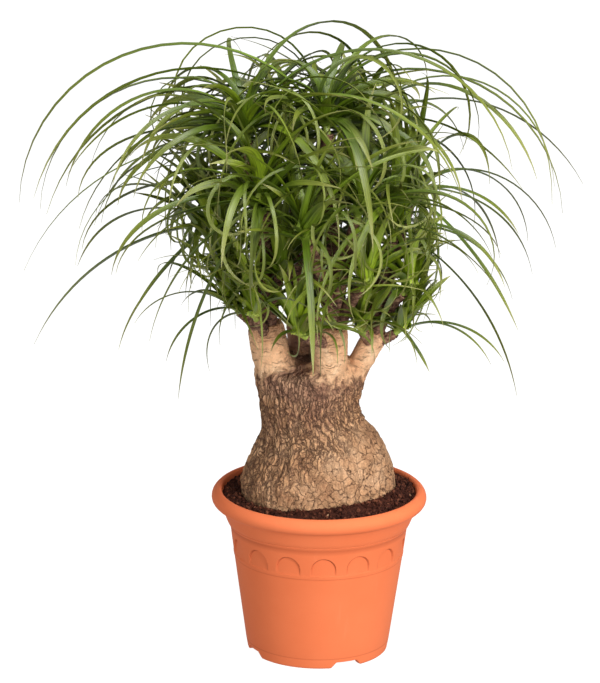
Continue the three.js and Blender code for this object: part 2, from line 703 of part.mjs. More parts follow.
// Draws together the ends of edges that are too short to be told apart
function weldShortEdges(solid) {
  const { vertProperties, triVerts } = solid.getMesh();
  const points = [];
  for (let i = 0; i < vertProperties.length; i += 3) points.push([...vertProperties.slice(i, i + 3)]);
  const joined = points.map((_, i) => i);
  const rootOf = (i) => (joined[i] === i ? i : rootOf(joined[i]));
  for (let i = 0; i < triVerts.length; i++) {
    const next = i % 3 === 2 ? i - 2 : i + 1;
    const [a, b] = [rootOf(triVerts[i]), rootOf(triVerts[next])];
    if (a !== b && Math.hypot(...sub(points[a], points[b])) < SHORTEST_EDGE) joined[a] = b;
  }
  const triangles = [];
  for (let i = 0; i < triVerts.length; i += 3) {
    const [a, b, c] = [...triVerts.slice(i, i + 3)].map(rootOf);
    if (a !== b && b !== c && c !== a) triangles.push([a, b, c]);
  }
  return toSolid({ points, triangles });
}

// Leaf roots can close round a small pocket: its inside-out shell is left out, which fills it
function fillPockets(solid) {
  return wasm.Manifold.compose(solid.decompose().filter((shell) => shell.volume() > 0));
}

const group = new THREE.Group();
group.add(toMesh('pot', makePot(), '#e0764a', 0.45));
group.add(toMesh('soil', toSolid(makeSoil()), '#2e2019', 0.95));

const stumpBodies = Object.values(STUMPS).map(({ from, to, radii }) =>
  loft(stemRings([from, mix(from, to, 0.5), to], radii, STUMP_SIDES)));
const stemBodies = HEADS.map((head) => loft(stemRings(stemLine(head), head.stem, STEM_SIDES)));
const trunkSolids = [makeTrunkFoot(), ...stumpBodies, ...stemBodies].map(toSolid);
const trunk = wasm.Manifold.union(trunkSolids).simplify(TRUNK_TOLERANCE);
group.add(toMesh('trunk', trunk, '#a98562', 0.9));

const trunkMesh = trunk.getMesh();
const trunkFaces = { points: [], triangles: [] };
for (let i = 0; i < trunkMesh.vertProperties.length; i += 3) {
  trunkFaces.points.push([...trunkMesh.vertProperties.slice(i, i + 3)]);
}
for (let i = 0; i < trunkMesh.triVerts.length; i += 3) {
  trunkFaces.triangles.push([...trunkMesh.triVerts.slice(i, i + 3)]);
}

for (const head of growHeads(cornersOf(trunkFaces))) {
  const fused = wasm.Manifold.union([toSolid(head.body), ...head.blades.map(toSolid)]);
  const solid = fillPockets(weldShortEdges(fused.simplify(HEAD_TOLERANCE)));
  group.add(toMesh(head.name, solid, '#4f7d2a', 0.6));
}

export default group;
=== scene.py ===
# %% [markdown]
# # A potted ponytail palm
# The real thing is a plant with a swollen, bark-covered foot. Its branches were cut back to stumps,
# and each stump sends up thin stems that end in heads of long strap leaves. It stands in a round
# flared plastic pot of dark peat. Every solid already exists as a plain, faceted node of the frame.
# Here each one gets a finer piece of the same form, with its real surface.
# Lengths below are written in millimetres, as a maker reads them, and MM turns them into metres.
# Only the studio round the plant, which is its lights, its floor and the camera's distance, is in
# metres from the start.

import json
import math

import bpy
import numpy as np
from mathutils import Matrix, Vector, bvhtree, kdtree, noise

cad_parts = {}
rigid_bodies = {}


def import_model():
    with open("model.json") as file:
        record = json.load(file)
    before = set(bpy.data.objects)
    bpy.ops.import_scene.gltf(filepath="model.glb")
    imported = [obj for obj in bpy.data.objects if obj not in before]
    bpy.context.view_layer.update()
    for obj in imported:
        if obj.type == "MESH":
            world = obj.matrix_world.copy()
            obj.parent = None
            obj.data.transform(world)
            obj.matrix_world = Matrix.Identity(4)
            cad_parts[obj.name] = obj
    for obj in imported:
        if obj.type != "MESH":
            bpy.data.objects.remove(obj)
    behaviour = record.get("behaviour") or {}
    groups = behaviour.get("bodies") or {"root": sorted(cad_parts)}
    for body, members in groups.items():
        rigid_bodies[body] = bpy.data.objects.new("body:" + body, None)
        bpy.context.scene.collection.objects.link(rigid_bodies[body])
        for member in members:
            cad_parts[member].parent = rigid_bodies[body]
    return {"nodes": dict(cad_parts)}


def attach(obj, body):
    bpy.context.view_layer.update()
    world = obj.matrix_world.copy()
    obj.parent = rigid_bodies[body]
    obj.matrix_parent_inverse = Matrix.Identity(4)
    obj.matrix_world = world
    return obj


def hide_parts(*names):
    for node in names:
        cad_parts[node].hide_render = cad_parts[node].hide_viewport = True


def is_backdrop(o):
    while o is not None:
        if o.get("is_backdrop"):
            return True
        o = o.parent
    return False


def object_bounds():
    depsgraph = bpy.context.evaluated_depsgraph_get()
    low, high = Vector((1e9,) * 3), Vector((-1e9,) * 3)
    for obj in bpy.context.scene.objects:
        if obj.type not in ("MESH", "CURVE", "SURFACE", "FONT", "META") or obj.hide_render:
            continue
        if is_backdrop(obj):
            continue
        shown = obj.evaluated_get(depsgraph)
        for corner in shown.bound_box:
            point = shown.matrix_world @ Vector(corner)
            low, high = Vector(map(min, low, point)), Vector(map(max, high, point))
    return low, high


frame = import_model()
cad_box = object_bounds()
MM = 0.001
# The vector noise follows the clock unless it is given a seed
NOISE_SEED = 11
noise.seed_set(NOISE_SEED)
print("frame nodes:", len(frame["nodes"]))


# %% [markdown]
# ## Camera
# The photograph is taken from about 17 degrees above the horizon with a long lens, so the rim of the
# pot is a flat ellipse and upright lines stay upright. A camera could be placed by eye. Here it is
# worked out instead: 1 pixel of the 600 x 683 picture is 1.244 mm at the pot's axis, because the
# 270 mm rim spans 217 pixels. The picture is turned by a fraction of a degree, and so is the camera.

# %% Camera
PICTURE = (600, 683)
MM_PER_PIXEL = 1.244
CAMERA_ELEVATION = math.radians(16.7)
CAMERA_ROLL = math.radians(0.6)
CAMERA_DISTANCE = 5.6
LOOK_AT = Vector((-26, 0, 401)) * MM

camera_data = bpy.data.cameras.new("camera")
camera = bpy.data.objects.new("camera", camera_data)
bpy.context.scene.collection.objects.link(camera)
bpy.context.scene.camera = camera
back = Vector((0, -math.cos(CAMERA_ELEVATION), math.sin(CAMERA_ELEVATION)))
camera.location = LOOK_AT + back * CAMERA_DISTANCE
turn = (-back).to_track_quat("-Z", "Y").to_matrix() @ Matrix.Rotation(CAMERA_ROLL, 3, "Z")
camera.rotation_euler = turn.to_euler()
camera_data.lens = camera_data.sensor_width * CAMERA_DISTANCE / (PICTURE[1] * MM_PER_PIXEL * MM)
camera_data.clip_end = 60
print("lens in mm:", round(camera_data.lens, 1))

# %% [markdown]
# ## Floor and light
# A studio picture on white. Three soft boxes light it: a strong key light in front at the right, a
# weak one in front at the left that keeps the shaded side open, and one above for the leaves. A plain
# white floor would turn grey where the light falls off. So floor and sky glow, with one strength for
# the light that they give, and another for what the camera sees.

# %% Floor
FLOOR_GREY = 0.12
GLOW_AS_LIGHT = 0.45
SKY_AS_SEEN = 1.1
FLOOR_AS_SEEN = 1.0

bpy.ops.mesh.primitive_plane_add(size=40)
floor = bpy.context.object
floor.name = "floor"
floor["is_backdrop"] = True
floor_material = bpy.data.materials.new("pale floor")
floor_material.use_nodes = True
floor_shader = floor_material.node_tree.nodes["Principled BSDF"]
floor_shader.inputs["Base Color"].default_value = (FLOOR_GREY, FLOOR_GREY, FLOOR_GREY, 1)
floor_shader.inputs["Roughness"].default_value = 1.0
floor_shader.inputs["Specular IOR Level"].default_value = 0.0
floor_shader.inputs["Emission Color"].default_value = (1, 1, 1, 1)
floor.data.materials.append(floor_material)

# %% Sky and glow
world = bpy.data.worlds.new("studio")
bpy.context.scene.world = world
world.use_nodes = True
sky = world.node_tree.nodes["Background"]
sky.inputs["Color"].default_value = (1, 1, 1, 1)


def glow(tree, socket, as_light, as_seen):
    """One strength for the light that falls on the plant, and another as the camera sees it."""
    seen = tree.nodes.new("ShaderNodeLightPath")
    strength = tree.nodes.new("ShaderNodeMapRange")
    strength.inputs["To Min"].default_value = as_light
    strength.inputs["To Max"].default_value = as_seen
    tree.links.new(seen.outputs["Is Camera Ray"], strength.inputs["Value"])
    tree.links.new(strength.outputs["Result"], socket)


glow(world.node_tree, sky.inputs["Strength"], GLOW_AS_LIGHT, SKY_AS_SEEN)
glow(floor_material.node_tree, floor_shader.inputs["Emission Strength"], GLOW_AS_LIGHT, FLOOR_AS_SEEN)

# %% Soft boxes
PLANT_MIDDLE = Vector((0, 0, 0.4))


def soft_box(name, place, size, watts):
    data = bpy.data.lights.new(name, "AREA")
    data.shape = "RECTANGLE"
    data.size, data.size_y = size
    data.energy = watts
    lamp = bpy.data.objects.new(name, data)
    bpy.context.scene.collection.objects.link(lamp)
    lamp.location = place
    lamp.rotation_euler = (PLANT_MIDDLE - Vector(place)).to_track_quat("-Z", "Y").to_euler()
    print(name, "watts:", watts)


soft_box("key light", (2.05, -2.5, 1.25), (1.1, 1.4), 90)
soft_box("front light", (-0.8, -2.7, 0.8), (1.0, 1.2), 17)
soft_box("top light", (0.4, -0.8, 3.2), (1.4, 1.4), 78)
bpy.context.scene.view_settings.view_transform = "Standard"

# %% [markdown]
# ## Tools for the materials
# Every finish is made of nodes. These few helpers keep each recipe short: one adds a node and sets
# its values, and the others make what the finishes share: a noise, cells, a colour ramp, a blend of
# two colours, a sum, a number kept on the mesh and a bump.

# %% Material helpers


class Finish:
    """A material under construction, with its shader and its Object coordinates."""

    def __init__(self, name):
        self.material = bpy.data.materials.new(name)
        self.material.use_nodes = True
        self.tree = self.material.node_tree
        self.shader = self.tree.nodes["Principled BSDF"]
        self.place = self.add("ShaderNodeTexCoord").outputs["Object"]

    def add(self, kind, inputs=None, **settings):
        node = self.tree.nodes.new(kind)
        for key, value in settings.items():
            setattr(node, key, value)
        for key, value in (inputs or {}).items():
            if isinstance(value, bpy.types.NodeSocket):
                self.tree.links.new(value, node.inputs[key])
            else:
                node.inputs[key].default_value = value
        return node

    def noise(self, scale, detail=4.0, roughness=0.55, where=None, stretch=None, distortion=0.0):
        where = where or self.place
        if stretch:
            where = self.add("ShaderNodeMapping", {"Vector": where, "Scale": stretch}).outputs[0]
        values = {"Vector": where, "Scale": scale, "Detail": detail, "Roughness": roughness}
        values["Distortion"] = distortion
        return self.add("ShaderNodeTexNoise", values).outputs["Fac"]

    def cells(self, scale, where=None, stretch=None, feature="DISTANCE_TO_EDGE"):
        where = where or self.place
        if stretch:
            where = self.add("ShaderNodeMapping", {"Vector": where, "Scale": stretch}).outputs[0]
        node = self.add("ShaderNodeTexVoronoi", {"Vector": where, "Scale": scale}, feature=feature)
        return node.outputs["Distance"]

    def ramp(self, value, *stops):
        node = self.add("ShaderNodeValToRGB", {"Fac": value})
        elements = node.color_ramp.elements
        while len(elements) < len(stops):
            elements.new(0.5)
        for element, (position, colour) in zip(elements, stops):
            element.position = position
            element.color = (*colour, 1) if isinstance(colour, tuple) else (colour,) * 3 + (1,)
        return node.outputs["Color"]

    def blend(self, share, first, second, mode="MIX"):
        node = self.add("ShaderNodeMix", {"Factor": share}, data_type="RGBA", blend_type=mode)
        for socket, value in ((node.inputs[6], first), (node.inputs[7], second)):
            if isinstance(value, bpy.types.NodeSocket):
                self.tree.links.new(value, socket)
            else:
                socket.default_value = (*value, 1)
        return node.outputs[2]

    def math(self, operation, first, second=0.0):
        node = self.add("ShaderNodeMath", {0: first, 1: second}, operation=operation)
        return node.outputs[0]

    def attribute(self, name, output="Fac"):
        return self.add("ShaderNodeAttribute", attribute_name=name).outputs[output]

    def bump(self, height, distance, strength=1.0):
        values = {"Height": height, "Distance": distance, "Strength": strength}
        return self.add("ShaderNodeBump", values).outputs["Normal"]

    def connect(self, socket, value):
        self.tree.links.new(value, self.shader.inputs[socket])

    def fixed(self, **values):
        for key, value in values.items():
            self.shader.inputs[key.replace("_", " ")].default_value = value


# %% [markdown]
# ## Tools for the meshes
# A piece is finished when it lies at the origin, unturned and unscaled, gets its finish, rides on the
# plant's one body and replaces its node. Other helpers make a piece from lists of points and faces,
# for shapes that are copied many times with their own bend, read and move its points, and store a
# number with each point, for the finish to read.

# %% Mesh helpers


def finish_piece(piece, name, finish, slot, *nodes):
    piece.name = name
    piece.data.name = name
    piece.data.materials.clear()
    piece.data.materials.append(finish.material)
    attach(piece, "root")
    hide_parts(*nodes)
    piece.data.calc_loop_triangles()
    print(name, "triangles:", len(piece.data.loop_triangles))
    return piece


def piece_from(points, faces, name):
    mesh = bpy.data.meshes.new(name)
    mesh.from_pydata(points, [], faces)
    mesh.update()
    piece = bpy.data.objects.new(name, mesh)
    bpy.context.scene.collection.objects.link(piece)
    return piece


def points_of(piece):
    points = np.empty(len(piece.data.vertices) * 3)
    piece.data.vertices.foreach_get("co", points)
    return points.reshape(-1, 3)


def move_points(piece, points):
    piece.data.vertices.foreach_set("co", points.astype(np.float32).ravel())
    piece.data.update()


def store(piece, name, values):
    """Keeps a number per point on the piece, for its finish to read."""
    layer = piece.data.attributes.new(name, "FLOAT", "POINT")
    layer.data.foreach_set("value", np.asarray(values, dtype=np.float32))


def smooth_by_angle(piece, degrees):
    bpy.ops.object.select_all(action="DESELECT")
    piece.select_set(True)
    bpy.context.view_layer.objects.active = piece
    bpy.ops.object.shade_smooth_by_angle(angle=math.radians(degrees))


def smoothstep(low, high, value):
    share = np.clip((value - low) / (high - low), 0, 1)
    return share * share * (3 - 2 * share)


# %% [markdown]
# ## Pot
# The real pot is injection-moulded: one wall, drawn upwards out of its mould, with a rolled lip, a
# flared collar, a band of shallow round-headed niches and a foot ring with four notches. These could
# be cut with Booleans, but thin slivers shade badly on a round wall. So the profile is spun into a
# wall whose rows are close together in the band, and the niches and notches are pressed into it.

# %% Pot sizes
POT_HEIGHT = 210
RIM_RADIUS = 135
WALL = 3
FOOT_RADIUS = 88
FOOT_INNER_RADIUS = 80
PAD_RADIUS = 52
CHANNEL_HEIGHT = 8
# Height and outside radius of the plain wall, from the foot ring to the collar
WALL_HEIGHTS = (13, 137.7, 164)
WALL_RADII = (90.4, 108.1, 111.5)
LEDGE = 124.5
LEDGE_WIDTH = 0.45
BAND_TOP = 157
BAND_ROW = 0.8
NICHE_BOTTOM = 129
FLARE_START = 160
COLLAR_RADIUS, COLLAR_LEVEL = 117, 172
LIP_INSIDE_RADIUS = 122
POT_STEPS = 660


def wall_radius(height):
    """Outside radius of the plain wall at a height."""
    return np.interp(height, WALL_HEIGHTS, WALL_RADII)


# %% Pot profile
def rows(low, high, step):
    return [low + i * step for i in range(1, int((high - low) / step))]


# Pad, channel and foot ring
profile = [(0, 0), (PAD_RADIUS, 0), (PAD_RADIUS + 1, CHANNEL_HEIGHT)]
profile += [(FOOT_INNER_RADIUS - 1, CHANNEL_HEIGHT), (FOOT_INNER_RADIUS, 1.0)]
profile += [(FOOT_INNER_RADIUS + 0.8, 0), (FOOT_RADIUS - 0.9, 0), (FOOT_RADIUS, 0.8)]
for z in (2, 3.5, 5, 6.5, 7.5, 8.5, 10, 12.2):
    profile.append((np.interp(z, (0, WALL_HEIGHTS[0]), (FOOT_RADIUS, WALL_RADII[0])), z))
# Plain wall, ledge, and the band of niches in close rows
profile += [(wall_radius(13.2) - 0.1, 13.2)]
profile += [(wall_radius(z), z) for z in (14, 40, 66, 90, 110, 122, 123.7)]
profile += [(wall_radius(LEDGE) - 0.15, LEDGE - 0.3), (wall_radius(LEDGE) + LEDGE_WIDTH, LEDGE + 0.2)]
for z in rows(LEDGE + 0.6, BAND_TOP, BAND_ROW):
    profile.append((wall_radius(z) + LEDGE_WIDTH * (z < NICHE_BOTTOM), z))
# Beads under the collar, and the collar's flare
profile += [(wall_radius(163.4), 163.4), (wall_radius(164) + 1.1, 165.2)]
profile += [(114.0, 166.6), (114.35, 167.4), (114.2, 168.1), (115.2, 169.0)]
profile += [(116.9, 173.0), (118.6, 177.6), (120.8, 182.6)]
profile += [(123.2, 187), (125.6, 189.8), (128.6, 190.8)]
# Rolled lip
profile += [(131.4, 191.9), (133.2, 193.6), (134.4, 195.6), (RIM_RADIUS, 198.2), (134.8, 201)]
profile += [(134, 203.6), (132.4, 206.2), (130.2, 208.4), (127.6, 209.7), (125.6, POT_HEIGHT)]
profile += [(123.7, 209.3), (122.5, 207.8), (LIP_INSIDE_RADIUS, 205)]
# Inside of the wall, and the floor
profile += [(COLLAR_RADIUS - WALL, COLLAR_LEVEL), (wall_radius(FLARE_START) - WALL, FLARE_START)]
profile += [(wall_radius(20) - WALL, CHANNEL_HEIGHT + WALL), (PAD_RADIUS - 1, CHANNEL_HEIGHT + WALL)]
profile += [(PAD_RADIUS - 3, WALL), (0, WALL)]
print("rows in the pot's profile:", len(profile))

# %% Spin the pot
bpy.ops.object.select_all(action="DESELECT")
pot = piece_from([(r * MM, 0, z * MM) for r, z in profile], [], "pot_shell")
bpy.context.view_layer.objects.active = pot
pot.select_set(True)
pot.data.edges.add(len(profile) - 1)
pot.data.edges.foreach_set("vertices", [k for i in range(len(profile) - 1) for k in (i, i + 1)])
pot.data.update()
bpy.ops.object.mode_set(mode="EDIT")
bpy.ops.mesh.select_all(action="SELECT")
bpy.ops.mesh.spin(steps=POT_STEPS, angle=2 * math.pi, center=(0, 0, 0), axis=(0, 0, 1))
bpy.ops.mesh.select_all(action="SELECT")
bpy.ops.mesh.remove_doubles(threshold=0.01 * MM)
bpy.ops.mesh.normals_make_consistent(inside=False)
bpy.ops.object.mode_set(mode="OBJECT")
print("pot vertices:", len(pot.data.vertices))

# %% [markdown]
# Water leaves through six holes in the raised channel of the floor. They are out of sight, but a
# plant in a pot without them would drown. Here a Boolean does no harm, because the channel is flat:
# six cylinders are joined to one cutter, which is taken away from the wall.

# %% Bore the drain holes
DRAIN_COUNT = 6
DRAIN_RADIUS = 6
DRAIN_CIRCLE_RADIUS = 66
DRAIN_SIDES = 32

bpy.ops.object.select_all(action="DESELECT")
drills = []
for k in range(DRAIN_COUNT):
    turn = 2 * math.pi * k / DRAIN_COUNT
    x = DRAIN_CIRCLE_RADIUS * math.sin(turn)
    y = -DRAIN_CIRCLE_RADIUS * math.cos(turn)
    hub = Vector((x, y, CHANNEL_HEIGHT + WALL / 2)) * MM
    bpy.ops.mesh.primitive_cylinder_add(
        vertices=DRAIN_SIDES, radius=DRAIN_RADIUS * MM, depth=3 * WALL * MM, location=hub
    )
    drills.append(bpy.context.object)
for drill in drills:
    drill.select_set(True)
bpy.ops.object.join()
drill = bpy.context.object
bore = pot.modifiers.new("drain holes", "BOOLEAN")
bore.operation = "DIFFERENCE"
bore.object = drill
bore.solver = "MANIFOLD"
bpy.ops.object.select_all(action="DESELECT")
pot.select_set(True)
bpy.context.view_layer.objects.active = pot
bpy.ops.object.modifier_apply(modifier=bore.name)
bpy.data.objects.remove(drill)
print("pot vertices with its drain holes:", len(pot.data.vertices))

# %% [markdown]
# Each niche is an upright slot with a round head. Its depth fades out towards its foot. The notches
# are slots with sloping sides, where the foot ring is lifted off the ground. Where shade gathers, a
# painted shade is kept on the wall as a number for the finish: round each niche, at the ledge, under
# the collar and above the foot ring.

# %% Niches and notches, sizes
# Places round the pot, and the widths of the notches, are in degrees
NICHE_COUNT = 15
NICHE_FIRST = 3.3
NICHE_HALF_WIDTH = 15.35
NICHE_TOP = 152.4
NICHE_DEPTH = 2.8
BORDER_INSET = 0.4
BORDER_WIDTH = 0.8
# Height, half width and strength of the painted shade in each of the creases round the pot
PAINTED_CREASE_SHADES = [(LEDGE - 0.4, 0.6, 0.5), (163.7, 0.7, 0.7), (168, 0.6, 0.4), (WALL_HEIGHTS[0], 0.8, 0.6)]
NOTCH_COUNT = 4
NOTCH_FIRST = 24.5
NOTCH_WIDTH_BOTTOM = 27
NOTCH_WIDTH_TOP = 18
NOTCH_HEIGHT = 8
print("degrees from niche to niche:", 360 / NICHE_COUNT)

# %% Press in the niches and mark the painted shade in the creases
points = points_of(pot) / MM
radius = np.hypot(points[:, 0], points[:, 1])
angle = np.degrees(np.arctan2(points[:, 0], -points[:, 1]))
height = points[:, 2]


def from_nearest(angle, first, count):
    """Angle from the nearest of so many equal places round the pot."""
    pitch = 360 / count
    return (angle - first + pitch / 2) % pitch - pitch / 2


across = np.radians(from_nearest(angle, NICHE_FIRST, NICHE_COUNT)) * radius
spring = NICHE_TOP - NICHE_HALF_WIDTH
reach = np.where(height > spring, np.hypot(across, height - spring), np.abs(across))
fade = np.clip((height - NICHE_BOTTOM) / (NICHE_TOP - NICHE_BOTTOM), 0, 1)
outside = radius > wall_radius(height) - 0.5 * WALL
band = outside & (height > LEDGE) & (height < FLARE_START)
press = NICHE_DEPTH * fade**0.55 * smoothstep(-0.3, 0.4, NICHE_HALF_WIDTH - reach) * band
# A painted shade line just inside the border of each niche
border = np.exp(-(((NICHE_HALF_WIDTH - BORDER_INSET - reach) / BORDER_WIDTH) ** 2))
# Painted shade in the creases round the pot and at the niches' borders, kept on the wall as a number
painted_crease_shade = np.zeros(len(points))
for level, half, depth in PAINTED_CREASE_SHADES:
    painted_crease_shade = np.maximum(painted_crease_shade, depth * np.exp(-(((height - level) / half) ** 2)))
painted_crease_shade = np.maximum(painted_crease_shade * outside, fade**0.4 * border * band)
shrink = (radius - press) / np.maximum(radius, 1)
points[:, 0] *= shrink
points[:, 1] *= shrink
print("deepest niche in mm:", round(float(press.max()), 1))

# %% Lift the foot ring at the notches
aside = np.abs(from_nearest(angle, NOTCH_FIRST, NOTCH_COUNT))
flank = (NOTCH_WIDTH_BOTTOM - NOTCH_WIDTH_TOP) / 2
arch = NOTCH_HEIGHT * np.clip((NOTCH_WIDTH_BOTTOM / 2 - aside) / flank, 0, 1)
ring = (radius > FOOT_INNER_RADIUS - 2) & (height < NOTCH_HEIGHT + 0.6)
points[:, 2] = np.where(ring, np.maximum(height, arch), height)
move_points(pot, points * MM)
store(pot, "painted_crease_shade", painted_crease_shade)
smooth_by_angle(pot, 38)
print("highest point of a notch in mm:", round(float(arch.max()), 1))

# %% [markdown]
# ### Pot finish
# Terracotta-coloured polypropylene: one warm orange through and through, satin, with the faintest
# cloudiness from the mould, a fine grain that breaks up the highlight, and upright scuffs that are a
# little paler. A flat colour would look like paint, so the colour, the gloss and the bump all wander
# a bit. In the creases and along the borders of the niches, a painted shade turns the orange to a deep
# red-brown.

# %% Pot finish
plastic = Finish("terracotta plastic")
cloud = plastic.noise(9, detail=5, roughness=0.6)
orange = plastic.ramp(cloud, (0.3, (0.74, 0.172, 0.065)), (0.7, (0.78, 0.195, 0.077)))
scuffs = plastic.noise(60, detail=6, roughness=0.7, stretch=(1, 1, 0.15))
scuff_share = plastic.ramp(scuffs, (0.62, 0.0), (0.8, 0.25))
orange = plastic.blend(scuff_share, orange, (0.86, 0.27, 0.13))
# Painted shade: the creases and the borders of the niches turn deep red-brown
dark = plastic.ramp(plastic.attribute("painted_crease_shade"), (0.1, 0.0), (0.9, 0.65))
plastic.connect("Base Color", plastic.blend(dark, orange, (0.3, 0.05, 0.02)))
plastic.connect("Roughness", plastic.ramp(cloud, (0.2, 0.45), (0.8, 0.55)))
grain = plastic.noise(900, detail=2)
plastic.connect("Normal", plastic.bump(grain, 0.12 * MM, 0.35))
plastic.fixed(Specular_IOR_Level=0.03)
finish_piece(pot, "pot_shell", plastic, "pot_plastic", "pot")

# %% [markdown]
# ## Soil
# Dark peat, a little higher against the plant and low at the front left. It could be one bumpy disc,
# but real peat shows separate crumbs and a few pale bits of bark, so the surface is a fine ring
# that follows the frame's soil, with crumbs modelled once as a rough lump and copied over it.

# %% Soil sizes
CLEARANCE = 0.3
SOIL_LEVEL = 203
SOIL_MOUND = 8
SOIL_EDGE = LIP_INSIDE_RADIUS - 3 * CLEARANCE
SOIL_AROUND = 360
SOIL_ACROSS = 26
print("soil, radius in mm:", SOIL_EDGE)

# %% [markdown]
# ## Foot of the plant
# The foot is a living bottle: wide at the soil, narrow under the fork. It could be sculpted, but then
# it would drift off the solid. Its rings below are the same as in the frame, so the finer skin stays
# on the solid's form. They come before the soil's surface, because that meets the foot all round.

# %% Rings of the foot
# Height, centre x, centre y, half width and half depth
FOOT_RINGS = np.array([
    [182, -1, -2, 96, 85],
    [213, -1, -2, 97, 86],
    [221, -1, -2, 97, 86],
    [231, -0.5, -1, 95, 85],
    [243, 0, 0, 91.6, 82],
    [262, 0, 0, 84.5, 76],
    [272, -0.5, 0, 79.5, 72],
    [281, -1, 0, 74.4, 68],
    [298, -8, 0, 66, 61],
    [306, -11, 0, 64.3, 58.5],
    [315, -13, 0, 63.2, 57],
    [324, -14.5, 0, 61.8, 55.5],
    [345, -16, 0, 64.4, 55],
    [356, -17, 0, 66.6, 56.5],
    [366, -19, 0, 65.5, 56],
    [375, -18, 1, 60, 51],
    [383, -17, 2, 49, 42],
    [388, -16, 3, 32, 27],
])
LOBES_FROM = 213
LOBES_FULL = 253


def foot_ring(height):
    """Centre x, centre y, half width and half depth of the foot at any height."""
    return [np.interp(height, FOOT_RINGS[:, 0], FOOT_RINGS[:, k]) for k in (1, 2, 3, 4)]


def lobes(angle, height):
    """The soft swellings round the foot, which are weaker at the soil."""
    lift = np.clip((height - LOBES_FROM) / (LOBES_FULL - LOBES_FROM), 0, 1)
    wave = 0.018 * np.cos(3 * angle + 0.6) + 0.012 * np.cos(5 * angle - height / 60)
    return wave * (0.4 + 0.6 * lift)


def foot_point(angle, height, grow=0.0):
    """Place of the foot's skin at an angle and a height, or so much outside it."""
    centre_x, centre_y, half_width, half_depth = foot_ring(height)
    swell = 1 + lobes(angle, height)
    x = centre_x + (half_width * swell + grow) * np.cos(angle)
    y = centre_y + (half_depth * swell + grow) * np.sin(angle)
    return x, y


print("foot, widest across in mm:", 2 * FOOT_RINGS[:, 3].max())

# %% [markdown]
# ## Soil surface
# The surface runs in fine rings from the foot's skin to the inside of the lip. It follows the waves
# of the frame's soil, with a drift heaped up at the right and a fine noise on top. A plain body
# below it fills the pot, so that no gap shows at the lip.

# %% Soil surface
def soil_height(angle, share):
    mound = SOIL_MOUND * (1 - share) * (0.55 + 0.45 * np.cos(angle - 0.5))
    crumbs = 0.8 * np.sin(7 * angle + 9 * share) * np.sin(11 * share + 3 * angle)
    drift = 9 * (1 - share) ** 1.6 * max(0.0, math.cos(angle + 0.55))
    return SOIL_LEVEL + mound + crumbs + drift


def soil_place(angle, share):
    level = soil_height(angle, share)
    inner_x, inner_y = foot_point(angle, level, 1.0)
    x = inner_x + (SOIL_EDGE * np.cos(angle) - inner_x) * share
    y = inner_y + (SOIL_EDGE * np.sin(angle) - inner_y) * share
    return x, y, level


PIT = FOOT_RINGS[0, 0] - CLEARANCE
turns = [2 * math.pi * k / SOIL_AROUND for k in range(SOIL_AROUND)]
soil_points = []
for turn in turns:
    x, y = foot_point(turn, PIT, 1.0)
    soil_points.append((x * MM, y * MM, PIT * MM))
for i in range(SOIL_ACROSS + 1):
    for turn in turns:
        x, y, z = soil_place(turn, i / SOIL_ACROSS)
        at = Vector((x, y, z))
        z += 2.2 * noise.fractal(at / 7, 0.8, 2.0, 4) + 1.2 * noise.noise(at / 2.2)
        soil_points.append((x * MM, y * MM, z * MM))
soil_faces = []
for i in range(SOIL_ACROSS + 1):
    for k in range(SOIL_AROUND):
        a = i * SOIL_AROUND + k
        b = i * SOIL_AROUND + (k + 1) % SOIL_AROUND
        soil_faces.append((a, a + SOIL_AROUND, b + SOIL_AROUND, b))
print("soil faces:", len(soil_faces))

# %% Soil underside
# Radius and height of each ring, down the inside of the pot and over its floor
INSET = WALL + 2 * CLEARANCE
SHELF = CHANNEL_HEIGHT + WALL + CLEARANCE
BODY_RINGS = [(COLLAR_RADIUS - INSET, COLLAR_LEVEL)]
BODY_RINGS += [(float(wall_radius(FLARE_START)) - INSET, FLARE_START)]
BODY_RINGS += [(float(wall_radius(20)) - INSET, SHELF)]
BODY_RINGS += [(PAD_RADIUS - 1.6, SHELF), (PAD_RADIUS - 3.6, WALL + CLEARANCE)]
for ring_radius, ring_height in BODY_RINGS:
    start = len(soil_points)
    for turn in turns:
        x, y = ring_radius * math.cos(turn), ring_radius * math.sin(turn)
        soil_points.append((x * MM, y * MM, ring_height * MM))
    for k in range(SOIL_AROUND):
        a, b = start - SOIL_AROUND + k, start - SOIL_AROUND + (k + 1) % SOIL_AROUND
        soil_faces.append((a, a + SOIL_AROUND, b + SOIL_AROUND, b))
soil_faces.append(tuple(start + k for k in range(SOIL_AROUND))[::-1])
soil_faces.append(tuple(range(SOIL_AROUND)))
soil = piece_from(soil_points, soil_faces, "peat")
print("soil points:", len(soil_points))

# %% [markdown]
# Crumbs: one lump is modelled from a coarse ball and pulled out of round. Its copies differ in size,
# turn and squash, and are sunk a little into the surface. Draws come from one seeded source.

# %% A rough lump
draws = np.random.default_rng(41)
bpy.ops.object.select_all(action="DESELECT")
bpy.ops.mesh.primitive_ico_sphere_add(subdivisions=1, radius=1)
lump = bpy.context.object
LUMP_CORNERS = len(lump.data.vertices)
lump_points = points_of(lump) * (1 + 0.22 * draws.standard_normal((LUMP_CORNERS, 1)))
lump_faces = [tuple(face.vertices) for face in lump.data.polygons]
bpy.data.objects.remove(lump)
print("faces of a crumb:", len(lump_faces))

# %% Crumbs
CRUMB_COUNT, CRUMB_SIZES = 2600, (0.7, 3.2)
BARK_BIT_COUNT, BARK_BIT_SIZES = 22, (0.6, 1.8)
SOIL_TINT, BARK_BIT_TINT = 0.25, 0.9


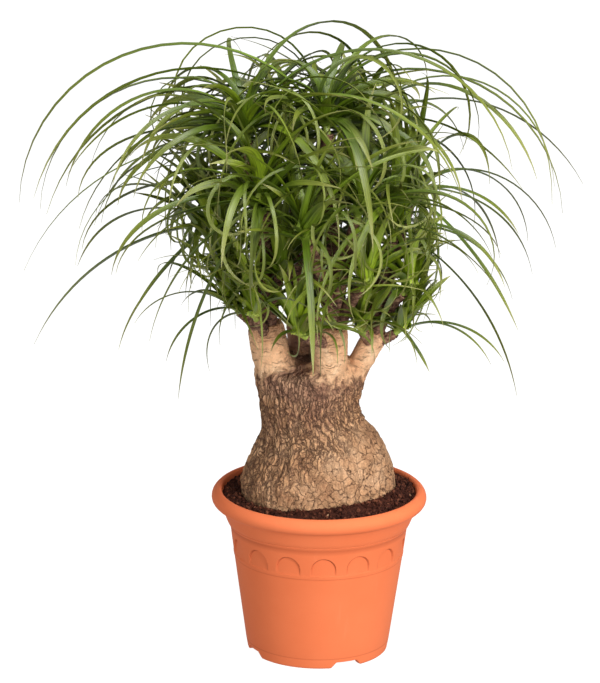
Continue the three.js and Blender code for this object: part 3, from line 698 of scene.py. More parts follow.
def scatter(count, sizes, name, tint=None):
    """Copies of the lump over the soil; without a tint, each one gets its own."""
    smallest, largest = sizes
    points, faces, tints = [], [], []
    for _ in range(count):
        turn, share = 2 * math.pi * draws.random(), draws.random() ** 0.8
        x, y, z = soil_place(turn, 0.03 + 0.94 * share)
        size = smallest + (largest - smallest) * draws.random() ** 3
        spin = Matrix.Rotation(6.3 * draws.random(), 3, Vector(draws.standard_normal(3)).normalized())
        scale = size * (0.7 + 0.6 * draws.random(3))
        base = len(points)
        for p in lump_points:
            q = spin @ Vector(p * scale)
            points.append(((x + q.x) * MM, (y + q.y) * MM, (z + q.z + 0.6 * size) * MM))
        shade = draws.random()
        tints += [0.84 * shade**1.5 if tint is None else tint] * LUMP_CORNERS
        faces += [tuple(base + k for k in face) for face in lump_faces]
    crumbs = piece_from(points, faces, name)
    store(crumbs, "tint", tints)
    return crumbs


store(soil, "tint", [SOIL_TINT] * len(soil_points))
crumb_pieces = [scatter(CRUMB_COUNT, CRUMB_SIZES, "crumbs")]
crumb_pieces += [scatter(BARK_BIT_COUNT, BARK_BIT_SIZES, "bark_bits", BARK_BIT_TINT)]

bpy.ops.object.select_all(action="DESELECT")
for part in [soil] + crumb_pieces:
    part.select_set(True)
bpy.context.view_layer.objects.active = soil
bpy.ops.object.join()
smooth_by_angle(soil, 50)

# %% [markdown]
# ### Soil finish
# Moist peat is nearly black where it is wet, red-brown where it dries, and matt. One colour would look
# like tar, so each crumb reads its own tint, bits of bark are pale, and a fine noise breaks up both.

# %% Soil finish
peat = Finish("moist peat")
tint = peat.attribute("tint")
dark = peat.ramp(
    tint,
    (0.0, (0.034, 0.008, 0.004)),
    (0.5, (0.09, 0.024, 0.012)),
    (0.86, (0.19, 0.065, 0.033)),
    (0.9, (0.42, 0.24, 0.13)),
)
fleck = peat.ramp(peat.noise(700, detail=5, roughness=0.7), (0.42, 0.45), (0.66, 1.5))
peat.connect("Base Color", peat.blend(1.0, dark, fleck, "MULTIPLY"))
peat.connect("Normal", peat.bump(peat.noise(1400, detail=4, roughness=0.7), 0.6 * MM, 0.8))
peat.fixed(Roughness=0.92, Specular_IOR_Level=0.2)
finish_piece(soil, "peat", peat, "soil", "soil")

# %% [markdown]
# ## Stumps and stems
# Four branches were sawn off above the fork. From each stump thin stems grow, and every stem ends
# where its head of leaves begins. The table is the plant's growing plan: the frame's own heads.

# %% Growing plan
# Where each stump starts and ends, and its radius at both
STUMPS = {
    "left": ((-58, -6, 345), (-68, -12, 430), (25, 21)),
    "middle": ((9, -26, 345), (15, -41, 434), (25, 18)),
    "right": ((34, -2, 352), (73, -5, 419), (17, 14)),
    "back": ((-14, 34, 345), (-22, 48, 430), (25, 18)),
}
HEADS = [
    ("leaf_head_01", (-122, 18, 532), "left", (11, 8), 10, (150, 270), 15, 20),
    ("leaf_head_02", (-92, -28, 662), "left", (12, 8), 10, (120, 250), 16, 75),
    ("leaf_head_03", (-73, -84, 590), "left", (13, 9), 11, (130, 260), 16, 140),
    ("leaf_head_04", (-39, 60, 612), "back", (10, 8), 10, (130, 270), 15, 10),
    ("leaf_head_05", (4, -20, 672), "middle", (12, 9), 11, (120, 260), 16, 200),
    ("leaf_head_06", (42, -76, 578), "middle", (10, 8), 11, (130, 260), 15, 310),
    ("leaf_head_07", (-18, -104, 556), "middle", (9, 8), 10, (130, 260), 15, 80),
    ("leaf_head_08", (86, -26, 540), "right", (10, 8), 11, (150, 280), 14, 250),
    ("leaf_head_09", (-84, 108, 560), "back", (11, 8), 10, (150, 300), 15, 60),
    ("leaf_head_10", (40, 104, 618), "back", (11, 8), 10, (140, 280), 15, 170),
    ("leaf_head_11", (108, 62, 560), "right", (11, 8), 10, (150, 290), 14, 290),
    ("leaf_sprout_01", (-101, -30, 447), "left", (8, 6), 7, (110, 210), 11, 0),
    ("leaf_sprout_02", (-80, -58, 446), "left", (8, 6), 7, (100, 190), 11, 45),
    ("leaf_sprout_03", (-19, -76, 430), "middle", (8, 7), 8, (110, 200), 13, 130),
    ("leaf_sprout_04", (52, -36, 424), "right", (7, 6), 7, (90, 170), 10, 200),
    ("leaf_sprout_05", (92, -16, 418), "right", (8, 6), 7, (110, 230), 11, 280),
    ("leaf_sprout_06", (48, -66, 488), "middle", (8, 7), 7, (110, 210), 13, 70),
    ("leaf_sprout_07", (-52, -56, 500), "left", (8, 7), 7, (110, 210), 13, 160),
    ("leaf_sprout_08", (100, -34, 474), "right", (8, 7), 7, (120, 240), 13, 240),
    ("leaf_sprout_09", (-112, -16, 496), "left", (8, 7), 7, (120, 240), 13, 330),
    ("leaf_sprout_10", (64, 46, 492), "right", (8, 7), 6, (120, 230), 13, 30),
    ("leaf_sprout_11", (-8, 92, 484), "back", (8, 7), 6, (120, 230), 13, 110),
]
HEAD_KEYS = ("name", "at", "on", "stem", "leaves", "reach", "width", "turn")
HEADS = [dict(zip(HEAD_KEYS, row)) for row in HEADS]
CORE_LENGTH = 32
SPROUT_CORE_LENGTH = 20


def stem_curve(head, steps):
    """Points of a stem, from inside its stump to its head. A sprout starts a little lower."""
    foot, top = (np.array(place, float) for place in STUMPS[head["on"]][:2])
    at = np.array(head["at"], float)
    sprout = "sprout" in head["name"]
    start = foot + (top - foot) * (0.72 if sprout else 0.9)
    rise = 8 if sprout else 0.55 * (at[2] - start[2])
    bend = start + (at - start) * (0.7 if sprout else 0.3)
    bend[2] = at[2] - rise if sprout else start[2] + rise
    share = np.linspace(0, 1, steps + 1)[:, None]
    return (1 - share) ** 2 * start + 2 * share * (1 - share) * bend + share**2 * at


# A head points along the last straight part of its stem in the frame
for head in HEADS:
    last = stem_curve(head, 2 if "sprout" in head["name"] else 3)[-2:]
    head["along"] = (last[1] - last[0]) / np.linalg.norm(last[1] - last[0])
    head["foot"] = np.array(head["at"], float) + head["along"] * CLEARANCE
    head["core"] = SPROUT_CORE_LENGTH if "sprout" in head["name"] else CORE_LENGTH
print("heads:", len(HEADS))

# %% [markdown]
# A round, tapering limb is modelled once: a cylinder cut into many rings. Each stump and stem is a
# copy of it, bent along its own line, with its own thickness. The same bending serves the leaves.

# %% A limb, cut into rings


def ringed_cylinder(sides, rings, name):
    """A cylinder of length and radius 1 along Z, with so many rings, as points and faces."""
    bpy.ops.object.select_all(action="DESELECT")
    bpy.ops.mesh.primitive_cylinder_add(vertices=sides, radius=1, depth=1, location=(0, 0, 0.5))
    bpy.ops.object.transform_apply(location=True)
    bpy.ops.object.mode_set(mode="EDIT")
    for ring in range(1, rings):
        bpy.ops.mesh.select_all(action="SELECT")
        bpy.ops.mesh.bisect(plane_co=(0, 0, ring / rings), plane_no=(0, 0, 1))
    bpy.ops.object.mode_set(mode="OBJECT")
    made = bpy.context.object
    points = points_of(made)
    faces = [tuple(face.vertices) for face in made.data.polygons]
    bpy.data.objects.remove(made)
    print(name, "template:", len(points), "points,", len(faces), "faces")
    return points, faces


def limb(template, line, radius_at):
    """The template bent along a line; radius_at gives the radius for a share and a turn."""
    points, faces = template
    share = points[:, 2]
    steps = np.linspace(0, 1, len(line))
    tangents = np.gradient(line, axis=0)
    tangents /= np.linalg.norm(tangents, axis=1)[:, None]
    across = np.cross(tangents, (0, 1, 0))
    across /= np.linalg.norm(across, axis=1)[:, None]
    up = np.cross(tangents, across)

    def sample(values):
        return np.stack([np.interp(share, steps, values[:, k]) for k in range(3)], axis=1)

    turn = np.arctan2(points[:, 1], points[:, 0])
    size = np.hypot(points[:, 0], points[:, 1]) * radius_at(share, turn)
    placed = sample(line) + sample(across) * (size * np.cos(turn))[:, None]
    placed += sample(up) * (size * np.sin(turn))[:, None]
    return placed, faces


# %% [markdown]
# The foot is the same ringed cylinder, widened ring by ring and sunk a little where the branches
# fork. The stumps are limbs that start deep inside it. A Boolean would leave sharp joins between
# them, so a voxel remesh makes one skin of all five, and a few rounds of smoothing soften the joins.

# %% Foot and stumps as one rough body
FOOT_SIDES = 160
FOOT_CUTS = 90
FORK_X, FORK_Y = -27, -22
FORK_WIDTH = 26
FORK_FROM = 340
FORK_DEPTH = 18
foot_points, foot_faces = ringed_cylinder(FOOT_SIDES, FOOT_CUTS, "foot")
heights = FOOT_RINGS[0, 0] + foot_points[:, 2] * (FOOT_RINGS[-1, 0] - FOOT_RINGS[0, 0])
angles = np.arctan2(foot_points[:, 1], foot_points[:, 0])
foot_x, foot_y = foot_point(angles, heights)
saddle = np.exp(-((foot_x - FORK_X) ** 2 + (foot_y - FORK_Y) ** 2) / FORK_WIDTH**2)
sink = FORK_DEPTH * saddle * (heights > FORK_FROM)
heights -= sink
body_points = [np.stack([foot_x, foot_y, heights], axis=1)]
body_faces = list(foot_faces)
print("the fork is sunk by, in mm:", round(float(sink.max()), 1))

# %% Stumps, and one skin over all
STUMP_SIDES = 40
STUMP_CUTS = 40
STUMP_STEPS = 24
FULLER, BACK_FULLER = 1.04, 1.16
FOOT_VOXEL = 1.5
RELAX_ROUNDS = 11

stump_template = ringed_cylinder(STUMP_SIDES, STUMP_CUTS, "stump")
for place, (start, end, radii) in STUMPS.items():
    start, end = np.array(start, float), np.array(end, float)
    sunk = start - 0.55 * (end - start)
    sunk[:2] = 0.7 * start[:2] + (2, 0)
    steps = np.linspace(0, 1, STUMP_STEPS)[:, None]
    line = (1 - steps) ** 2 * sunk + 2 * steps * (1 - steps) * start + steps**2 * end
    fuller = BACK_FULLER if place == "back" else FULLER

    def stump_radius(share, turn, radii=radii, fuller=fuller):
        flare = 1 + 0.14 * np.clip(1 - share / 0.6, 0, 1)
        knob = 1 + 0.05 * np.sin(2 * turn + 9 * share) + 0.04 * np.sin(3 * turn - 5 * share)
        rounded = 1 - 0.12 * smoothstep(0.95, 1.0, share)
        return (radii[0] + (radii[1] - radii[0]) * share) * flare * knob * rounded * fuller

    placed, faces = limb(stump_template, line, stump_radius)
    base = sum(len(points) for points in body_points)
    body_points.append(placed)
    body_faces += [tuple(base + k for k in face) for face in faces]

trunk = piece_from([tuple(p) for p in np.concatenate(body_points) * MM], body_faces, "foot")
bpy.ops.object.select_all(action="DESELECT")
trunk.select_set(True)
bpy.context.view_layer.objects.active = trunk
remesh = trunk.modifiers.new("one skin", "REMESH")
remesh.mode = "VOXEL"
remesh.voxel_size = FOOT_VOXEL * MM
bpy.ops.object.modifier_apply(modifier=remesh.name)
relax = trunk.modifiers.new("soft joins", "SMOOTH")
relax.factor = 0.5
relax.iterations = RELAX_ROUNDS
bpy.ops.object.modifier_apply(modifier=relax.name)
print("skin of the foot, points:", len(trunk.data.vertices))

# %% [markdown]
# ### Bark
# The bark is corky: long upright furrows high on the left, and broader plates that meet at dark
# cracks low on the right. It could be only a bump, but the outline of a real foot is rough too, so
# the skin itself is moved. Cells of a Voronoi pattern are the plates, the same cells drawn out
# upright are the ridges, and the places between two cells are the cracks.

# %% Bark relief
PLATE = 13.0
PLATE_CRACK = 0.055
FURROW = 5.6
FURROW_CRACK = 0.3
UNROLLED_RADIUS = 62


def cell_edge(place):
    """0 at the border between two cells, growing inwards, with a number of the cell's own."""
    distances, centres = noise.voronoi(place, distance_metric="DISTANCE")
    return distances[1] - distances[0], noise.cell(centres[0] * 7.31)


def plate_share(place):
    """1 low on the right, where the bark breaks into plates, and 0 where it is furrowed."""
    wander = 18 * noise.noise(place / 30)
    return float(smoothstep(-25, 25, place.x * 0.65 - (place.z - 255) * 0.95 + wander))


def unrolled(place):
    """The place moved to a plain cylinder, so that furrows fan out where the foot widens."""
    centre_x, centre_y, half_width, half_depth = foot_ring(place.z)
    angle = math.atan2((place.y - centre_y) / half_depth, (place.x - centre_x) / half_width)
    return Vector((UNROLLED_RADIUS * math.cos(angle), UNROLLED_RADIUS * math.sin(angle), place.z))


def bark_at(place):
    """Share of crack, height of the ridges and plates, and fine grain, at a point of the skin."""
    warp = noise.noise_vector(place / 26) * 9 + noise.noise_vector(place / 8) * 2.4
    bent = place + warp
    flat = plate_share(place)
    plates, own = cell_edge(Vector((bent.x, bent.y, bent.z * 0.9)) / PLATE)
    left = float(smoothstep(10, -30, place.x + 20 * noise.noise(place / 14)))
    lying = unrolled(place) + warp * (1 - 0.5 * left)
    drawn_out = Vector((lying.x, lying.y, lying.z * (0.3 - 0.19 * left)))
    furrows, second = cell_edge(drawn_out / (FURROW + left))
    broken = 0.5 + noise.noise(place / 9)
    crack = flat * broken * (1 - min(1.0, plates / PLATE_CRACK))
    crack += (1 - flat) * (1 - min(1.0, furrows / FURROW_CRACK))
    ridge = min(1.0, furrows / 0.5) ** 0.7
    rise = flat * (0.4 * own + 0.4 * min(1.0, plates / 0.2))
    rise += (1 - flat) * (1.2 * second + 1.4 * ridge)
    fine = noise.fractal(Vector((lying.x, lying.y, lying.z * 0.5)) / 4.0, 0.8, 2.1, 4)
    coarse = noise.noise(place / 21)
    return crack, rise + 1.5 * coarse, fine


STUMP_LINES = [
    (np.array(start, float), np.array(end, float), radii[0]) for start, end, radii in STUMPS.values()
]


def stump_share(place):
    """How far up its nearest stump a point is, 0 at the fork and 1 at the cut, and how far aside."""
    best, found = 1e9, 0.0
    for start, end, radius in STUMP_LINES:
        axis = end - start
        t = float(np.dot(place - start, axis) / np.dot(axis, axis))
        aside = np.linalg.norm(place - start - axis * min(1.0, max(-0.3, t))) / radius
        if aside < best:
            best, found = aside, t
    return found, best


# %% [markdown]
# Stumps are younger than the foot: smoother, paler and ringed with the scars of leaves that fell.
# Young bark gives way to old along a ragged line round the fork. Each point keeps what it is, as
# numbers for the finish: how much crack, plate, young bark, and weathered bark and painted shade, and
# how far up its stump.

# %% Young bark and old
SCAR_STEP = 4.6
YOUNG_FROM, YOUNG_FULL = 335, 380
RAGGED = 24

skin = points_of(trunk) / MM
normals = np.empty(len(trunk.data.vertices) * 3)
trunk.data.vertices.foreach_get("normal", normals)
normals = normals.reshape(-1, 3)
upward, aside = np.array([stump_share(p) for p in skin]).T
ragged = np.array([noise.noise(Vector(p) / 9) + 0.5 * noise.noise(Vector(p) / 3.5) for p in skin])
young = smoothstep(YOUNG_FROM, YOUNG_FULL, skin[:, 2] + RAGGED * ragged)
young *= smoothstep(1.45, 1.12, aside + 0.2 * ragged)
print("share of young bark:", round(float(young.mean()), 2))

# %% Move the skin
cracks, moves, flats = (np.zeros(len(skin)) for _ in range(3))
flow = np.array([unrolled(Vector(p)) for p in skin])
for i, p in enumerate(skin):
    place = Vector(p)
    crack, rise, fine = bark_at(place)
    wave = place.z / SCAR_STEP + 1.4 * noise.noise(place / 16)
    scar = young[i] * smoothstep(0.4, 0.7, upward[i]) * (abs(wave % 1 - 0.5) < 0.13)
    old = 1 - 0.8 * young[i]
    moves[i] = old * (rise - 1.2 - 1.1 * crack) + (0.35 + 0.6 * old) * fine - 0.4 * scar
    cracks[i] = min(1.0, 0.85 * old * crack + 0.55 * scar)
    flats[i] = plate_share(place)
skin += normals * moves[:, None]
move_points(trunk, skin * MM)
print("deepest crack in mm:", round(float(-moves.min()), 1))

# %% Where the bark is weathered, and where shade is painted
# Darker bark round the waist and on the left flank; in the fork, on the stump behind and between the
# stumps, on old bark, the darkening is painted shade
fork = np.exp(-(((skin - (-27, -10, 392)) / (34, 45, 42)) ** 2).sum(axis=1))
waist = 0.6 * np.exp(-(((skin[:, 0] + 5) / 45) ** 2) - ((skin[:, 2] - 330) / 42) ** 2)
flank = 0.35 * np.exp(-(((skin[:, 0] + 70) / 30) ** 2) - ((skin[:, 2] - 300) / 50) ** 2)
behind = smoothstep(4, 24, skin[:, 1]) * smoothstep(360, 390, skin[:, 2])
between = 0.6 * smoothstep(330, 360, skin[:, 2]) * (1 - young)
weathered_and_shade = np.clip(fork * (1 - 0.75 * young) + waist + flank + behind + between, 0, 1)
store(trunk, "weathered_and_shade", weathered_and_shade)
store(trunk, "crack", cracks)
store(trunk, "plates", flats * (1 - young))
store(trunk, "young", young)
store(trunk, "upward", np.clip(upward, 0, 1))
layer = trunk.data.attributes.new("flow", "FLOAT_VECTOR", "POINT")
layer.data.foreach_set("vector", (flow * MM).astype(np.float32).ravel())
print("share of weathered bark:", round(float(weathered_and_shade.mean()), 2))

# %% [markdown]
# ### Bark colour
# Old cork is tan, weathered cork grey-brown, young bark a pale warm tan with thin level wrinkles,
# and the cracks are dark red-brown. In the fork, on the stump behind and between the stumps, the
# grey-brown is painted shade. The relief is about as fine as the mesh allows, so thinner cracks,
# splinters and grain come from the finish: the same kinds of cells, drawn out upright on the old bark
# and round on the plates. Upright patterns read the flow, which is the skin laid on a plain cylinder,
# so that they fan out with the furrows. Near its cut, each stump has rusty flecks.

# %% Bark finish
smooth_by_angle(trunk, 80)
bark = Finish("corky bark")
weathered_and_shade = bark.attribute("weathered_and_shade")
plates = bark.attribute("plates")
young = bark.attribute("young")
upper = bark.attribute("upward")
wobble = bark.add("ShaderNodeTexNoise", {"Vector": bark.place, "Scale": 55, "Detail": 4})
wobble = wobble.outputs["Color"]
bent = bark.add("ShaderNodeMix", {0: 0.018, 4: bark.place, 5: wobble}, data_type="VECTOR").outputs[1]
flow = bark.attribute("flow", "Vector")
flow = bark.add("ShaderNodeMix", {0: 0.02, 4: flow, 5: wobble}, data_type="VECTOR").outputs[1]
grain = bark.noise(300, detail=8, roughness=0.85, where=flow, stretch=(1, 1, 0.22))
speckle = bark.noise(320, detail=6, roughness=0.8, where=bent)
wrinkles = bark.noise(230, detail=5, roughness=0.7, where=bent, stretch=(0.25, 0.25, 2.0))
splits = bark.cells(230, where=flow, stretch=(1, 1, 0.2))
seams = bark.cells(98, where=bent, stretch=(1, 1, 0.85))
patches = bark.noise(26, detail=6, roughness=0.7)

# %% Bark colours
tan = bark.ramp(
    patches, (0.3, (0.44, 0.215, 0.105)), (0.5, (0.59, 0.325, 0.165)), (0.7, (0.72, 0.44, 0.25))
)
fresh = bark.ramp(
    patches, (0.3, (0.82, 0.43, 0.22)), (0.55, (0.95, 0.58, 0.33)), (0.75, (0.96, 0.7, 0.46))
)
# The dark old-bark colour, which is also the painted shade in the fork, behind and between the stumps
old = bark.ramp(
    patches, (0.3, (0.16, 0.068, 0.052)), (0.5, (0.37, 0.19, 0.12)), (0.7, (0.64, 0.37, 0.22))
)
plate_tan = bark.blend(1.0, tan, (0.84, 0.84, 0.86), "MULTIPLY")
tan = bark.blend(plates, tan, plate_tan)
youth = bark.math("ADD", young, bark.math("MULTIPLY", bark.math("SUBTRACT", speckle, 0.5), 1.8))
tan = bark.blend(bark.ramp(youth, (0.2, 0.0), (0.8, 1.0)), tan, fresh)
# Old bark and painted shade take over from the tan, with a ragged edge
edge = bark.math("ADD", weathered_and_shade, bark.math("MULTIPLY", bark.math("SUBTRACT", speckle, 0.5), 2.6))
tan = bark.blend(bark.ramp(edge, (0.25, 0.0), (0.8, 0.92)), tan, old)
rough_share = bark.ramp(young, (0.0, 0.9), (1.0, 0.28))
grained = bark.ramp(grain, (0.36, 0.42), (0.5, 1.0), (0.62, 1.55))
tan = bark.blend(rough_share, tan, grained, "MULTIPLY")

# %% Cracks, wrinkles and rust
split_share = bark.ramp(splits, (0.0, 0.85), (0.08, 0.45), (0.16, 0.0))
seam_share = bark.ramp(seams, (0.0, 0.85), (0.025, 0.4), (0.05, 0.0))
seam_share = bark.math("MULTIPLY", seam_share, bark.ramp(speckle, (0.45, 1.0), (0.58, 0.1)))
lines = bark.blend(plates, split_share, seam_share)
lines = bark.math("MULTIPLY", lines, bark.ramp(young, (0.0, 1.0), (1.0, 0.08)))
wrinkle_share = bark.math("MULTIPLY", young, bark.ramp(wrinkles, (0.34, 0.6), (0.44, 0.0)))
lines = bark.math("MAXIMUM", lines, wrinkle_share)
deep = bark.math("MAXIMUM", lines, bark.ramp(bark.attribute("crack"), (0.4, 0.0), (1.0, 0.75)))
tan = bark.blend(deep, tan, (0.075, 0.034, 0.025))
rusty = bark.ramp(upper, (0.72, 0.0), (0.98, 0.7))
rust_share = bark.math("MULTIPLY", rusty, bark.ramp(speckle, (0.45, 0.0), (0.56, 1.0)))
tan = bark.blend(rust_share, tan, (0.36, 0.1, 0.035))
bark.connect("Base Color", tan)
relief = bark.math("SUBTRACT", grain, lines)
bark.connect("Normal", bark.bump(relief, 2.6 * MM, 1.0))
bark.fixed(Roughness=0.85, Specular_IOR_Level=0.2)
finish_piece(trunk, "foot", bark, "bark", "trunk")

# %% [markdown]
# ## Stems
# The thin stems show the scars of leaves that fell: close rings all the way up. They could be plain
# tubes with a bump, but in a close view the rings show in the outline. So they are copies of the
# ringed limb, with the radius swelling a little at every scar, and their bark is dark and streaky.

# %% Stems
STEM_SIDES = 18
STEM_CUTS = 64
STEM_STEPS = 24
SCAR_SPACING = 3.4
stem_template = ringed_cylinder(STEM_SIDES, STEM_CUTS, "stem")
stem_points, stem_faces = [], []
for head in HEADS:
    line = stem_curve(head, STEM_STEPS)
    length = float(np.linalg.norm(np.diff(line, axis=0), axis=1).sum())

    def stem_radius(share, turn, head=head, length=length):
        thick, thin = head["stem"]
        scars = np.abs((share * length / SCAR_SPACING + 0.12 * np.sin(turn)) % 1 - 0.5) * 2
        ripple = 0.9 + 0.1 * scars + 0.05 * np.sin(5 * turn + 40 * share)
        return (thick + (thin - thick) * share) * ripple

    placed, faces = limb(stem_template, line, stem_radius)
    base = sum(len(points) for points in stem_points)
    stem_points.append(placed)
    stem_faces += [tuple(base + k for k in face) for face in faces]
stems = piece_from([tuple(p) for p in np.concatenate(stem_points) * MM], stem_faces, "stems")
smooth_by_angle(stems, 60)

# %% Stem finish
stem_skin = Finish("scarred stem")
streaks = stem_skin.noise(120, detail=5, roughness=0.7, stretch=(1, 1, 2.2))
brown = stem_skin.ramp(
    streaks, (0.38, (0.05, 0.025, 0.018)), (0.5, (0.17, 0.08, 0.048)), (0.64, (0.42, 0.25, 0.15))
)
stem_skin.connect("Base Color", brown)
stem_skin.connect("Normal", stem_skin.bump(streaks, 2.0 * MM, 1.0))
stem_skin.fixed(Roughness=0.8, Specular_IOR_Level=0.3)
finish_piece(stems, "stems", stem_skin, "bark", "trunk")

# %% [markdown]
# ## Leaves
# A leaf is a long strap, channelled like a gutter, broad and pale where it clasps the stem and drawn
# out to a thread at its tip. It could be a flat card with a picture, but the channel is what catches
# the light. So one flat strap is modelled with a groove above and a keel below, and every leaf is a
# bent copy. The lines come from the plant's growing plan, and the frame's own solids decide which way
# each leaf was bent clear of the others, so a leaf lies where its solid lies.

# %% One strap leaf
# A bar with four corners: its two edges, the groove above and the keel below
LEAF_CUTS = 22
leaf_points, leaf_faces = ringed_cylinder(4, LEAF_CUTS, "leaf")
leaf_share = leaf_points[:, 2] ** 1.15
leaf_across = np.round(leaf_points[:, 0])
leaf_over = np.round(leaf_points[:, 1])
BASE_CLASP = 1.15
BLADE_THICKNESS = 0.8


def width_share(share, hold):
    """Width of a leaf along it, as a share of its widest; hold says how far it stays broad."""
    clasp = BASE_CLASP - 0.35 * smoothstep(0.0, 0.07, share) + 0.2 * smoothstep(0.07, 0.2, share)
    strap = 0.45 + 0.5 * hold + (0.55 - 0.5 * hold) * np.exp(-((share / 0.27) ** 1.6))
    tip = 1 - np.clip((share - hold) / (1 - hold), 0, 1) ** 1.7
    return np.maximum(0.04, clasp * strap * tip)


# %% Lines of leaves
LINE_STEPS = 60


def leaf_frames(leaf, share):
    """Ways along, across and out of the face of a leaf, for each share of its length."""
    lean = np.radians(leaf["lean"] + (leaf["droop"] - leaf["lean"]) * share ** leaf["bend"])
    azimuth = np.radians(leaf["azimuth"] + leaf["drift"] * share**2)
    out_x, out_y = np.cos(azimuth), np.sin(azimuth)
    along = np.stack([np.sin(lean) * out_x, np.sin(lean) * out_y, np.cos(lean)], axis=1)
    face = np.stack([-np.cos(lean) * out_x, -np.cos(lean) * out_y, np.sin(lean)], axis=1)
    side = np.stack([-out_y, out_x, 0 * lean], axis=1)
    roll = np.radians(leaf["twist"] * share)[:, None]
    return along, side * np.cos(roll) + face * np.sin(roll), face * np.cos(roll) - side * np.sin(roll)


def leaf_line(leaf):
    along, _, _ = leaf_frames(leaf, (np.arange(LINE_STEPS) + 0.5) / LINE_STEPS)
    steps = np.cumsum(along * leaf["length"] / LINE_STEPS, axis=0)
    return leaf["root"] + np.concatenate([np.zeros((1, 3)), steps])


def bent_leaf(leaf):
    """The flat strap laid along a leaf's line."""
    line = leaf_line(leaf)
    steps = np.linspace(0, 1, len(line))
    centre = np.stack([np.interp(leaf_share, steps, line[:, k]) for k in range(3)], axis=1)
    _, side, face = leaf_frames(leaf, leaf_share)
    half = leaf["width"] * width_share(leaf_share, leaf.get("hold", 0.35)) / 2
    keel = np.maximum(0.25, 0.24 * half)
    groove = np.where(leaf_over > 0, np.minimum(BLADE_THICKNESS, 0.8 * keel + 0.2), 0)
    lift = np.where(leaf_across != 0, 0.32 * half, -keel + groove)
    return centre + side * (leaf_across * half)[:, None] + face * lift[:, None]


# %% Draws of the growing plan
# The same source of numbers as in the frame's own plan, so that the same leaves come out of it
GOLDEN_ANGLE = 137.5
draw_state = 20977


def draw():
    """The next number between 0 and 1."""
    global draw_state
    draw_state = draw_state * 16807 % 2147483647
    return (draw_state - 1) / 2147483646


def ruled_leaf(head, rank, leaves, draw, turn=0.0):
    """Young leaves stand upright inside, old ones droop outside."""
    age = (rank + 0.5) / leaves
    shortest, longest = head["reach"]
    prime = math.sin(math.pi * (0.1 + 0.75 * age))
    leaf = {"azimuth": head["turn"] + turn + rank * GOLDEN_ANGLE + 16 * (draw() - 0.5)}
    leaf["lean"] = 2 + 66 * age + 18 * (draw() - 0.5)
    leaf["droop"] = 62 + 55 * age + 105 * draw()
    leaf["bend"] = 0.8 + 0.8 * draw()
    # The frame's plan draws a number here that this script has no use for
    draw()
    leaf["drift"] = 130 * (draw() - 0.5)
    leaf["twist"] = 150 * (draw() - 0.5)
    vigour = min(1, 0.1 + 1.3 * prime * (0.5 + 0.5 * draw()))
    leaf["length"] = shortest + (longest - shortest) * vigour
    leaf["width"] = head["width"] * (0.75 + 0.35 * draw())
    leaf["height"] = 0.85 - 0.65 * age
    return leaf


def leaf_root(head, leaf):
    azimuth = math.radians(leaf["azimuth"])
    radial = np.array([math.cos(azimuth), math.sin(azimuth), 0])
    return head["foot"] + head["along"] * head["core"] * leaf["height"] + radial * 2.2


